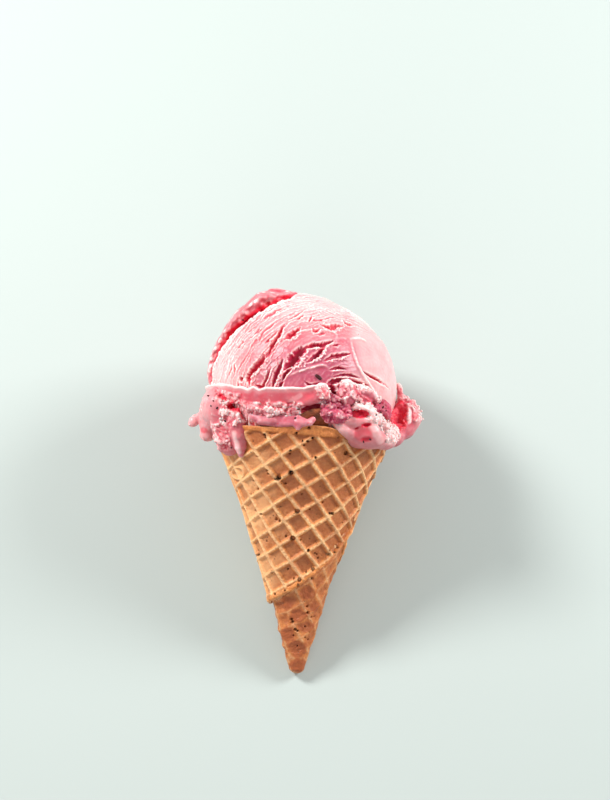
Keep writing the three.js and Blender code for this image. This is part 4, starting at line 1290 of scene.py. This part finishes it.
LEDGE_BOX = (-38, 97, 1), (12, 111, 39)
lump("ledge", *LEDGE_BOX, ledge_body, ledge_torn, 100, ledge_pale, ledge_deep, step=0.32, rough=0.75)

# %% [markdown]
# ## The collar's lumps
#
# Softer ice cream was pressed out over the rim. On the left a heap hangs down the wafer, with a deep hole,
# a tongue, a lobe and a drop. It is torn but for its smooth left flank and the tongue.

# %% Heap on the left
TONGUE = [
    (-24.2, 94, 22.4, 3.9), (-23.0, 89.5, 22.4, 3.5), (-22.5, 85.4, 22.0, 2.4),
    (-22.3, 81.9, 21.2, 1.0),
]
LEFT_RIDGE = [
    (-33.0, 105.2, 15.6, 0.8), (-32.3, 102.9, 18.2, 0.8), (-30.2, 101.4, 21.6, 0.8),
    (-28.4, 100.9, 23.4, 0.6),
]
FROSTY_RIDGE = [
    (-33.0, 105.4, 16.0, 0.6), (-32.3, 102.9, 19.0, 0.6), (-30.2, 101.4, 22.4, 0.6),
    (-28.4, 100.9, 24.2, 0.5),
]


def left_body(p):
    """Five eggs melted into a heap, with rods for the tongue and the ridge, less six holes."""
    heap = melted(
        1.2,
        egg(p, (-29.2, 99.4, 14.0), (8.4, 8.2, 9.6)),
        egg(p, (-27.2, 90.6, 16.6), (5.6, 8.6, 6.2), 14),
        egg(p, (-34.4, 97.0, 5.0), (4.1, 9.0, 8.0), -6),
        egg(p, (-23.6, 97.4, 22.4), (4.6, 4.6, 3.4), -30),
        egg(p, (-27.6, 85.4, 15.6), (2.6, 3.6, 2.6), 20),
    )
    lobe, drop = egg(p, (-35.2, 88.9, 6.5), (2.9, 2.8, 3.4)), egg(p, (-41.0, 93.3, 3.5), (1.8, 2.0, 2.0))
    drop = melted(0.5, drop, rod(p, (-40.2, 95.2, 3.5, 0.9), (-37.0, 95.6, 4, 1.8)))
    return without(
        melted(0.5, heap, rod(p, *TONGUE), rod(p, *LEFT_RIDGE), lobe, drop),
        egg(p, (-24.2, 99.7, 26.4), (3.2, 1.7, 5.6), -4),
        egg(p, (-20.8, 96.6, 27.4), (1.3, 2.6, 4.0), 40),
        egg(p, (-29.9, 103.2, 24.2), (2.5, 0.8, 3.4), -38),
        rod(p, (-34.6, 106.6, 15.0, 0.5), (-35.8, 104.4, 13.0, 0.7)),
        egg(p, (-36.6, 99.0, 13.0), (0.7, 1.4, 2.0), 20),
        egg(p, (-34.0, 100.4, 16.4), (0.5, 0.6, 1.6)),
    )


def left_torn(p):
    """A band down the heap and its foot, but not the tongue, and some patches on the flank."""
    x, y = p.T[:2]
    band = ease_step(-31.5, -28.5, x) * ease_step(88, 90, y)
    tongue = ease_step(1.6, 0.6, rod(p, (-23.4, 91.5, 24, 2.2), (-22.4, 82, 22, 2.2)))
    low = 0.9 * ease_step(-35, -31, x) * ease_step(94, 92, y) * ease_step(82.5, 84.5, y)
    side = 0.45 * ease_step(90, 93, y) * ease_step(-36, -33, x) * ease_step(95, 91, y)
    side = np.maximum(side, 0.5 * ease_step(0.0, 0.4, noise(p, 3.6, 109)) * ease_step(-28, -30, x))
    return np.maximum(band, low) * (1 - tongue) + side


def left_pale(p):
    """The flank, the ridge, and the tongue's front, which is painted light where the heap shades it."""
    side = ease_step(-30, -37, p[:, 0])
    ridge = ease_step(1.0, 0.2, rod(p, *FROSTY_RIDGE))
    tongue = ease_step(1.2, 0.2, rod(p, (-24.6, 90, 25, 0.4), (-23.2, 83, 23, 0.4)))
    return 0.35 * side + 0.6 * ridge + 0.75 * tongue + 0.1 * ease_step(93, 88, p[:, 1])


def left_deep(p):
    """Painted red shade inside the holes, and a little below."""
    hole = ease_step(0.9, -0.2, egg(p, (-24.2, 99.7, 25.6), (3.2, 1.7, 5.6), -4))
    side = 0.75 * ease_step(0.8, -0.2, egg(p, (-20.8, 96.4, 26.6), (1.5, 2.8, 4.0), 40))
    slit = 0.9 * ease_step(0.6, -0.1, egg(p, (-29.9, 103.2, 24.2), (2.5, 0.8, 3.4), -38))
    spot = 0.5 * ease_step(0.8, 0.1, egg(p, (-36.3, 90.5, 9.5), (1.2, 0.7, 2)))
    marks = rod(p, (-34.6, 106.6, 15.0, 0.3), (-35.8, 104.4, 13.0, 0.5), (-36.6, 98.6, 12.6, 0.4))
    return hole + side + slit + spot + 0.8 * ease_step(0.6, 0.1, marks) + 0.15 * ease_step(95, 90, p[:, 1])


lump("left_heap", (-44, 79, -5), (-17.5, 109, 29), left_body, left_torn, 110, left_pale, left_deep)

# %% [markdown]
# Below the ledge lies a crumbly row, torn all over, and under it a strip that has melted: it is smooth and
# hangs over the rim in two small drops.

# %% Crumbly row and melted strip
def crags_body(p):
    """Three eggs melted into a row, less three holes."""
    return without(
        melted(
            0.6,
            egg(p, (-17.0, 99.0, 28.6), (3.8, 3.0, 4.0), -10),
            egg(p, (-11.2, 98.6, 30.6), (4.6, 2.6, 3.8)),
            egg(p, (-4.4, 99.2, 32.0), (3.8, 2.3, 3.2), 8),
        ),
        egg(p, (-19.0, 97.0, 31.5), (0.8, 1.6, 3), 10),
        egg(p, (-6.4, 98.6, 35.4), (0.8, 0.6, 1.6)),
        egg(p, (-17.6, 101.2, 33.2), (1.6, 0.6, 2)),
    )


def strip_body(p):
    """Flat eggs side by side, and rods for the drops."""
    return melted(
        0.8,
        egg(p, (-14.8, 95.8, 28.4), (4.8, 2.3, 3.0), -8),
        egg(p, (-8.6, 95.5, 30.4), (5.6, 2.6, 2.9)),
        egg(p, (-3.0, 95.6, 31.4), (4.2, 2.6, 2.6), -6),
        egg(p, (-12.6, 94.3, 31.0), (3.4, 0.9, 1.8), -4),
        egg(p, (-5.2, 93.9, 32.6), (3.2, 0.8, 1.6), 3),
        rod(p, (-1.8, 94.2, 34.0, 0.8), (-1.8, 92.2, 34.1, 0.6)),
        rod(p, (0.4, 94.2, 34.4, 0.8), (2.6, 94.4, 34.6, 1.2), (3.8, 95.6, 34.4, 1.0)),
    )


STRIP_BOX = (-21, 90, 24), (6, 100, 37)
strip_pale = lambda p: 0.2 * noise(p, 3, 166)
strip_torn = lambda p: 0.2 + 0.7 * ease_step(96.4, 97.6, p[:, 1])
lump("front_crags", (-23, 94, 23), (1, 104, 38), crags_body, always(1.0), 150, step=0.28, rough=0.85)
lump("melted_strip", *STRIP_BOX, strip_body, strip_torn, 160, strip_pale, tint=0.4, step=0.28, rough=0.6)

# %% [markdown]
# Right of the middle a crag stands up, with a valley down its front that gets a painted red shade. Below it
# and at its right lie two lumps that are mostly fruit, dark red and without frost.

# %% Middle crag and the fruity lumps
CRAG_EDGE = [(15.6, 110.2, 32, 0.6), (17.4, 107.6, 33, 0.7), (19.8, 104.6, 33, 0.7), (24.6, 101.2, 30, 0.5)]
CRAG_TOP = [(12.0, 108.4, 32, 0.4), (15.6, 110.4, 32, 0.5), (20.4, 108.0, 30, 0.6), (27.2, 104.6, 25, 0.6)]
VALLEY = [
    (18.6, 108.2, 33.6, 0.6), (20.2, 105.8, 33.2, 1.0), (23.0, 103.6, 31.4, 1.1), (26.0, 101.9, 29.0, 0.7),
]
RED_VALLEY = [
    (18.8, 108.0, 32.8, 0.4), (20.2, 105.8, 32.4, 0.7), (23.0, 103.8, 30.8, 0.8), (26.0, 102.1, 28.6, 0.4),
]
CRAG_BOX, CRAG_LOOK = [(9, 99, 22), (31, 113, 36)], {"tint": 0.35, "step": 0.28, "rough": 0.85}
LOW_BOX, LOW_LOOK = [(2, 92, 24), (20, 107, 37)], {"tint": 1.0, "step": 0.26, "rough": 1.1}
FRUIT_BOX, FRUIT_LOOK = [(21, 92, 10), (35, 106, 27)], {"tint": 0.9, "rough": 0.7}


def crag_body(p):
    """Two eggs at the left, a rod and an egg at the right and a ridge between, less the valley."""
    left = egg(p, (15.6, 105.2, 30.4), (3.7, 4.6, 4.0), 20)
    left = melted(0.5, left, egg(p, (15.4, 108.4, 30.6), (2.6, 2.2, 2.6), 15))
    right = rod(p, (19.0, 107.4, 29.6, 1.5), (23.6, 105.4, 27.4, 1.9), (27.2, 103.4, 24.0, 1.3))
    right = melted(0.4, right, egg(p, (21.4, 103.0, 27.0), (4.4, 2.4, 3.4), -32))
    ridge = rod(p, (17.8, 105.6, 32.6, 1.1), (21.2, 103.2, 31.2, 1.1), (24.8, 101.0, 29.0, 0.9))
    return without(melted(0.5, left, right, ridge), rod(p, *VALLEY))


def crag_torn(p):
    """By a noise, and most along its edge and its top."""
    nearest = np.minimum(rod(p, *CRAG_TOP), rod(p, *CRAG_EDGE))
    return 0.25 + 0.6 * noise(p, 4.5, 178) + 0.5 * ease_step(2.4, 0.8, nearest)


def crag_pale(p):
    """Its edge and its top."""
    return 0.3 * ease_step(1.6, 0.5, rod(p, *CRAG_EDGE)) + 0.5 * ease_step(1.4, 0.4, rod(p, *CRAG_TOP))


def crag_deep(p):
    """Painted red shade in its valley."""
    return 0.8 * ease_step(0.9, 0.2, rod(p, *RED_VALLEY))


def low_body(p):
    """Four eggs."""
    return melted(
        0.5,
        egg(p, (11.6, 97.3, 32.0), (4.4, 3.0, 3.2), -6),
        egg(p, (15.0, 99.2, 31.0), (3.2, 2.8, 3.0)),
        egg(p, (7.8, 98.6, 33.2), (1.3, 2.0, 1.8), 30),
        egg(p, (10.8, 102.4, 31.6), (3.6, 2.4, 3.2), -30),
    )


def fruit_body(p):
    """Two eggs."""
    upper = egg(p, (25.6, 100.6, 21.0), (2.6, 2.0, 3.4), -20)
    return melted(0.8, egg(p, (28.9, 99.2, 17.6), (3.8, 4.2, 5.2), -12), upper)


no_frost = always(-0.4)
low_deep = lambda p: 0.45 + 0.5 * noise(p, 1.8, 188)
fruit_deep = lambda p: 0.6 + 0.4 * noise(p, 2.2, 198)
lump("middle_crag", *CRAG_BOX, crag_body, crag_torn, 170, crag_pale, crag_deep, **CRAG_LOOK)
lump("middle_low", *LOW_BOX, low_body, always(0.8), 180, no_frost, low_deep, **LOW_LOOK)
lump("fruit_lump", *FRUIT_BOX, fruit_body, always(0.6), 190, no_frost, fruit_deep, **FRUIT_LOOK)

# %% [markdown]
# On the right the largest lump hangs over the rim. It is smooth below, with a hole under its torn upper
# edge that gets a painted red shade, a flap and a finger.

# %% Lump on the right
TORN_EDGE = [
    (15.6, 99.8, 31.8, 1.1), (19.2, 100.5, 31.9, 1.35), (23.2, 99.5, 31.0, 1.5), (26.6, 97.3, 29.0, 1.5),
    (29.4, 94.4, 26.0, 1.6), (31.8, 90.8, 22.4, 2.0),
]


def right_body(p):
    """Four eggs, with rods for the torn edge, the flap and the finger, less five holes."""
    lower = melted(
        1.0,
        egg(p, (22.6, 90.4, 22.6), (9.6, 5.4, 7.4), -4),
        egg(p, (14.6, 92.6, 28.6), (5.0, 2.3, 3.8), -28),
        egg(p, (30.4, 90.0, 16.6), (4.9, 5.2, 6.6), 10),
        egg(p, (20.4, 95.8, 25.8), (6.6, 4.8, 5.6), -14),
    )
    flap = rod(p, (19.4, 95.4, 30.6, 1.2), (24.4, 96.0, 29.6, 1.0))
    flap = melted(0.6, egg(p, (17.2, 94.8, 29.6), (3.6, 1.8, 2.4), -18), flap)
    finger = rod(p, (23.6, 95.4, 29.4, 1.3), (26.2, 92.2, 28.8, 1.7), (28.2, 88.6, 25.8, 1.6))
    return without(
        melted(0.5, lower, rod(p, *TORN_EDGE), flap, finger),
        egg(p, (20.6, 98.0, 33.0), (3.5, 1.5, 2.8), -3),
        egg(p, (23.2, 94.1, 32.0), (1.6, 0.5, 2.4), 10),
        egg(p, (19.6, 92.8, 32.0), (1.1, 0.35, 2.4), 25),
        egg(p, (23.3, 88.7, 30.4), (2.2, 1.3, 1.6), 8),
        egg(p, (30.2, 88.6, 24.6), (0.6, 1.0, 2.0), -20),
        melt=0.25,
    )


def right_torn(p):
    """A band along the torn edge, and the right flank."""
    side = ease_step(29.4, 31.4, p[:, 0] + 0.15 * (p[:, 1] - 90)) * ease_step(86.5, 89.0, p[:, 1])
    return np.maximum(0.6 * ease_step(2.6, 1.0, rod(p, *TORN_EDGE)), side)


def right_pale(p):
    """A little painted light all over, then the torn edge, the left end, the flap, the right flank and the
    finger.
    """
    band = ease_step(2.0, 0.6, rod(p, *TORN_EDGE))
    tip = ease_step(19, 13, p[:, 0])
    flap = ease_step(1.4, 0.4, rod(p, (12.6, 94.6, 30, 0.5), (16.4, 96.6, 31.0, 0.5), (24.4, 96.9, 30.0, 0.4)))
    side = ease_step(29.8, 32.0, p[:, 0]) * ease_step(86, 89, p[:, 1])
    finger = rod(p, (23.8, 95.0, 30.6, 0.5), (26.4, 92.0, 30.2, 0.8), (28.2, 88.6, 27.2, 0.8))
    return 0.2 + band + 0.4 * tip + 0.4 * flap + 0.9 * side + 0.4 * ease_step(1.3, 0.3, finger)


def right_deep(p):
    """Painted red shade in the holes, and a little red all over."""
    red = 0.9 * ease_step(0.5, -0.1, egg(p, (20.6, 98.0, 32.4), (3.5, 1.5, 3.6), -3))
    slit = 0.9 * ease_step(0.6, 0.0, egg(p, (23.2, 94.1, 31.4), (1.6, 0.5, 3.0), 10))
    rest = 0.4 * ease_step(1.2, 0.0, egg(p, (22.0, 91.0, 30.0), (2.8, 2.6, 2.6), -30))
    hole = 0.3 * ease_step(0.9, 0.0, egg(p, (23.3, 88.7, 29.4), (1.8, 0.7, 1.8), 8))
    return 0.1 + red + slit + rest + hole


lump("right_lump", (8, 83, 8), (38, 103.5, 34), right_body, right_torn, 200, right_pale, right_deep)

# %% [markdown]
# At the far right a lobe stands out beyond the ball. Inside, it is painted bright red, as a glow of light
# that passed through the ice cream, and its outer edge is frosty.

# %% Lobe at the far right
def lobe_body(p):
    """Five eggs and a rod, with a ridge, less three holes."""
    mass = melted(
        0.8,
        egg(p, (38.0, 98.2, -6.0), (4.8, 6.6, 8.4), -8),
        egg(p, (38.4, 93.2, -5.0), (4.2, 4.8, 8.0), -20),
        egg(p, (41.2, 96.6, -4.0), (3.3, 3.7, 5.6), 10),
        egg(p, (34.6, 89.4, 2.0), (3.2, 3.8, 7.0), -20),
        egg(p, (33.8, 94.0, -2.0), (5.0, 6.4, 9.0)),
        rod(p, (35.4, 108.4, -2.4, 0.8), (36.2, 105.4, -2.4, 1.2), (38.0, 102.6, -2.8, 1.6)),
    )
    return without(
        melted(0.4, mass, rod(p, (39.6, 101.4, 1.0, 0.6), (39.9, 98.4, 1.8, 0.6), (39.8, 95.4, 2.2, 0.7))),
        egg(p, (36.0, 98.8, 5.6), (2.9, 5.8, 4.8), -5),
        egg(p, (36.9, 94.2, 6.4), (2.2, 1.8, 3.4), 20),
        egg(p, (42.0, 97.6, 3.8), (1.1, 1.5, 2.6), -10),
        melt=0.35,
    )


def lobe_torn(p):
    """The hollow, the top and the outer edge."""
    hollow = ease_step(1.2, 0.2, egg(p, (36.4, 98.2, 4.0), (3.0, 6.4, 5.4), -5))
    top = 0.75 * ease_step(99.4, 102, p[:, 1])
    outer = 0.6 * ease_step(40.4, 41.6, p[:, 0]) * ease_step(94, 96, p[:, 1])
    return np.maximum(top + outer, 0.7 * hollow)


def lobe_pale(p):
    """The ridge and the outermost part."""
    ridge = ease_step(1.1, 0.3, rod(p, (39.7, 99.4, 2.4, 0.5), (39.9, 95.4, 3.4, 0.5)))
    return 0.8 * ridge + 0.3 * ease_step(41, 44, p[:, 0])


def lobe_deep(p):
    """Painted red glow in the hollow and a pocket, and the stalk above."""
    low = egg(p, (36.9, 94.2, 6.4), (2.2, 1.6, 4.6), 20)
    hollow = melted(0.5, egg(p, (36.0, 98.8, 5.0), (2.9, 5.8, 6.8), -5), low)
    pocket = 0.6 * ease_step(0.8, 0.0, egg(p, (42.0, 97.6, 3.4), (1.1, 1.5, 2.6), -10))
    stalk = 0.4 * ease_step(2.2, 0.8, rod(p, (35.4, 107, -1, 0.4), (35.6, 104, 0, 0.4)))
    return 0.85 * ease_step(1.2, 0.0, hollow) + pocket + stalk


LOBE_BOX = (27, 83, -17), (47, 111, 8)
lump("far_lobe", *LOBE_BOX, lobe_body, lobe_torn, 210, lobe_pale, lobe_deep, step=0.34, rough=0.8)

# %% [markdown]
# The collar goes on round the back, where eight lumps follow one rule in the solid. Each is an egg, longest
# the way round the mouth, and two of them are the flat spots that the scoop rests on.

# %% Lumps round the back
BACK_LUMPS, BACK_FROM, BACK_TO, BACK_R, BACK_Y = 8, 104, 262, 31, 93.4
BACK_RADII, BACK_REACH = [7.6, 5.4, 5.2], 10.5

half_torn = lambda p: 0.45 + 0.5 * noise(p, 7, 219)
swells = 0.5 + 0.5 * np.sin(2.4 * np.arange(BACK_LUMPS) - 0.55)
for index, swell in enumerate(swells):
    a = BACK_FROM + (BACK_TO - BACK_FROM) * index / (BACK_LUMPS - 1)
    at = around(BACK_R + 1.2 * swell, BACK_Y + 1.6 * math.cos(1.9 * index), a)
    c, s = math.cos(math.radians(a)), math.sin(math.radians(a))
    turn, radii = np.array([[c, 0, s], [0, 1, 0], [-s, 0, c]]), BACK_RADII + swell * np.array([1, 1.8, 0])
    body = lambda p: egg((p - at) @ turn, np.zeros(3), radii)
    box = at - BACK_REACH, at + BACK_REACH
    lump(f"back_lump_{index + 1}", *box, body, half_torn, 220 + 8 * index, step=0.42, rough=0.8)

# %% [markdown]
# Inside the cone the ice cream is a plain taper, from the bottom of the hollow up into the scoop. It only
# shows between the lumps and the rim.

# %% Core inside the cone
CORE_SIDES = 60

y = np.array([HOLLOW_FROM_Y + GAP, WALL_THICKENS_Y, FLARE_TO_Y, RIM_Y + 2])[:, None]
rings = around(hollow_at(y) - 1.5 * GAP, y, np.linspace(0, 360, CORE_SIDES, endpoint=False)[None])
points = np.concatenate([rings.reshape(-1, 3), [[0, y[0, 0], 0], [0, y[-1, 0], 0]]])
none = np.zeros(len(points))
cream("core", points, outward(points, tube_faces(len(y), CORE_SIDES)), none, none, none)

# %% [markdown]
# ## Crumbs and seeds
#
# Where ice cream tears, frozen crumbs stick up. They are one small uneven ball, copied to places that are
# drawn by chance from the torn and frosty skin, each with its own size and turn. Strawberry seeds are drops
# of dark brown, some at known places and the rest by chance.

# %% Where crumbs and seeds can sit
skin_at, skin_out, skin_torn, skin_pale = (np.concatenate(parts) for parts in zip(*skins))
free = (skin_at[:, 1] > 88) & (np.hypot(skin_at[:, 0], skin_at[:, 2]) > 27)
free &= np.linalg.norm(skin_at - SCOOP_MIDDLE, axis=1) > SCOOP_R - 0.5


def copies(shape, faces, at, sizes, turns):
    """One small shape at many places: each copy is scaled, turned and moved."""
    placed = np.einsum("nij,nkj->nki", turns, shape[None] * sizes[:, None]) + at[:, None]
    index = faces[None] + (np.arange(len(at)) * len(shape))[:, None, None]
    return placed.reshape(-1, 3), index.reshape(-1, 4)


def any_turns(count):
    """Random turns: three random directions made square to each other."""
    turns = np.linalg.qr(rng.normal(size=(count, 3, 3)))[0]
    return turns * np.sign(np.linalg.det(turns))[:, None, None]


print(int(free.sum()), "places")

# %% [markdown]
# Most crumbs lie where the skin is torn and pale, low on the scoop. Each is scaled by one number, and once
# more by another number in each direction, so no two are alike.

# %% Crumbs
CRUMBS, CRUMB_SIZES, CRUMB_STRETCH = 300, (0.2, 0.55), (0.45, 1.3)

chance = np.where(free, skin_torn, 0) * ease_step(112, 104, skin_at[:, 1]) * ease_step(0.2, 0.7, skin_pale)
picked = rng.choice(len(chance), CRUMBS, replace=False, p=chance / chance.sum())
shape, faces = ball(3)
shape = shape * (1 + 0.5 * noise(shape, 0.7, 300))[:, None]
sizes = rng.uniform(*CRUMB_SIZES, (CRUMBS, 1)) * rng.uniform(*CRUMB_STRETCH, (CRUMBS, 3))
points, faces = copies(shape, faces, skin_at[picked] + 0.2 * skin_out[picked], sizes, any_turns(CRUMBS))
none = np.zeros(len(points))
marks = {"hollow": none, "torn": none + 1, "deep": none, "pale": none + 0.9, "tint": none}
piece("crumbs", points, faces, torn_cream, ICE_NODE, **marks)

# %% [markdown]
# A seed is a flattened drop, pressed into the skin. The known ones are given as x and y in the front view
# with a length, and the first, which is large, lies aslant. The others are drawn by chance.

# %% Seeds
SHOWN_SEEDS = np.array([
    (5.8, 111.3, 1.5), (-35.0, 103.6, 0.7), (-33.2, 101.4, 0.6), (-31.6, 98.6, 0.7),
    (-30.4, 95.6, 0.6), (-28.8, 94.2, 0.7), (-34.2, 99.4, 0.6), (-22.6, 131.4, 0.7),
    (24.3, 88.6, 0.8), (22.6, 88.0, 0.6), (29.6, 100.8, 0.6), (31.0, 99.4, 0.5), (28.4, 99.2, 0.6),
    (30.6, 96.4, 0.6), (27.0, 98.0, 0.5), (-3.0, 96.4, 0.7), (-1.0, 99.2, 0.7), (-25.8, 83.9, 0.6),
])
CHANCE_SEEDS, SEED_SHAPE = 22, [1.0, 0.48, 0.45]
FIRST_TURN = [[0.8, 0.6, 0], [-0.6, 0.8, 0], [0, 0, 1]]
SEED_DARK, SEED_BROWN = (0.02, 0.005, 0.006, 1), (0.08, 0.014, 0.014, 1)


def front_of(x, y):
    """The foremost skin point at a place of the front view."""
    close = np.hypot(skin_at[:, 0] - x, skin_at[:, 1] - y) < 0.6
    return np.flatnonzero(close)[np.argmax(skin_at[close, 2])]


def seed_finish():
    """Two browns blended by the grain."""
    made, tree, shader = finish_start("seed_brown", {"Roughness": 0.45, "Specular IOR Level": 0.25})
    share = stretch(tree, grain_of(tree, 800, 2400), 0.5, 1.0)
    tree.links.new(blend(tree, share, SEED_DARK, SEED_BROWN), shader.inputs["Base Color"])
    return made


shown = [front_of(x, y) for x, y, _ in SHOWN_SEEDS]
low_or_behind = (skin_at[:, 1] < 106) | (skin_at[:, 2] < 0)
drawn = rng.choice(np.flatnonzero(free & low_or_behind), CHANCE_SEEDS, replace=False)
at = np.concatenate([shown, drawn])
sizes = np.concatenate([SHOWN_SEEDS[:, 2], rng.uniform(0.3, 0.55, CHANCE_SEEDS)])[:, None] * SEED_SHAPE
turns = any_turns(len(at))
turns[0] = FIRST_TURN
points, faces = copies(*ball(5), skin_at[at] + 0.05 * skin_out[at], sizes, turns)
piece("seeds", points, faces, seed_finish(), ICE_NODE)

# %% [markdown]
# ## Floor and light
#
# The floor is pale and plain. One soft lamp stands at the upper left, so the pockets' upper left walls are
# in shade and the scoop's upper left is bright. A second one lights the right edge, a weak and broad one
# below them lifts the shadows under the collar, and the pale sky fills the rest.

# %% Floor
FLOOR_REACH, FLOOR_GREY = 3.0, (0.44, 0.505, 0.49, 1)

even = {"Base Color": FLOOR_GREY, "Roughness": 0.9, "Specular IOR Level": 0.1}
corners = [(x * FLOOR_REACH, y * FLOOR_REACH, 0) for x, y in ((-1, -1), (1, -1), (1, 1), (-1, 1))]
floor_mesh = bpy.data.meshes.new("floor")
floor_mesh.from_pydata(corners, [], [(0, 1, 2, 3)])
floor_mesh.materials.append(finish_start("pale_floor", even)[0])
floor = bpy.data.objects.new("floor", floor_mesh)
bpy.context.scene.collection.objects.link(floor)

# %% [markdown]
# All lamps are soft squares that stand off the scoop. The upper left one makes the form, so it is the
# strongest and the smallest.

# %% Lamps
LAMPS_ROUND, LAMP_DISTANCE = Vector((0, 0.01, 0.04)), 0.9
SKY, SKY_STRENGTH = (1.0, 0.95, 0.92, 1), 0.42


def lamp(name, towards, size, power, colour):
    """A square lamp that stands off the scoop in a direction of the standing cone's frame."""
    data = bpy.data.lights.new(name, "AREA")
    data.size, data.energy, data.color = size, power, colour
    made = bpy.data.objects.new(name, data)
    out = Vector(lean_back(unit(towards)))
    made.location = LAMPS_ROUND + out * LAMP_DISTANCE
    made.rotation_mode = "QUATERNION"
    made.rotation_quaternion = out.to_track_quat("Z", "Y")
    bpy.context.scene.collection.objects.link(made)


lamp("key_lamp", (-0.66, 0.60, 0.45), 0.22, 10.2, (1.0, 0.975, 0.95))
lamp("edge_lamp", (0.80, 0.50, 0.34), 0.3, 8.5, (1.0, 0.985, 0.97))
lamp("low_fill", (-0.15, -0.55, 0.82), 0.6, 1.7, (1.0, 0.92, 0.92))
world = bpy.data.worlds.new("pale_sky")
world.use_nodes = True
sky = world.node_tree.nodes["Background"].inputs
sky["Color"].default_value, sky["Strength"].default_value = SKY, SKY_STRENGTH
bpy.context.scene.world = world
bpy.context.scene.view_settings.view_transform = "Standard"
print(len(bpy.data.lights), "lamps")
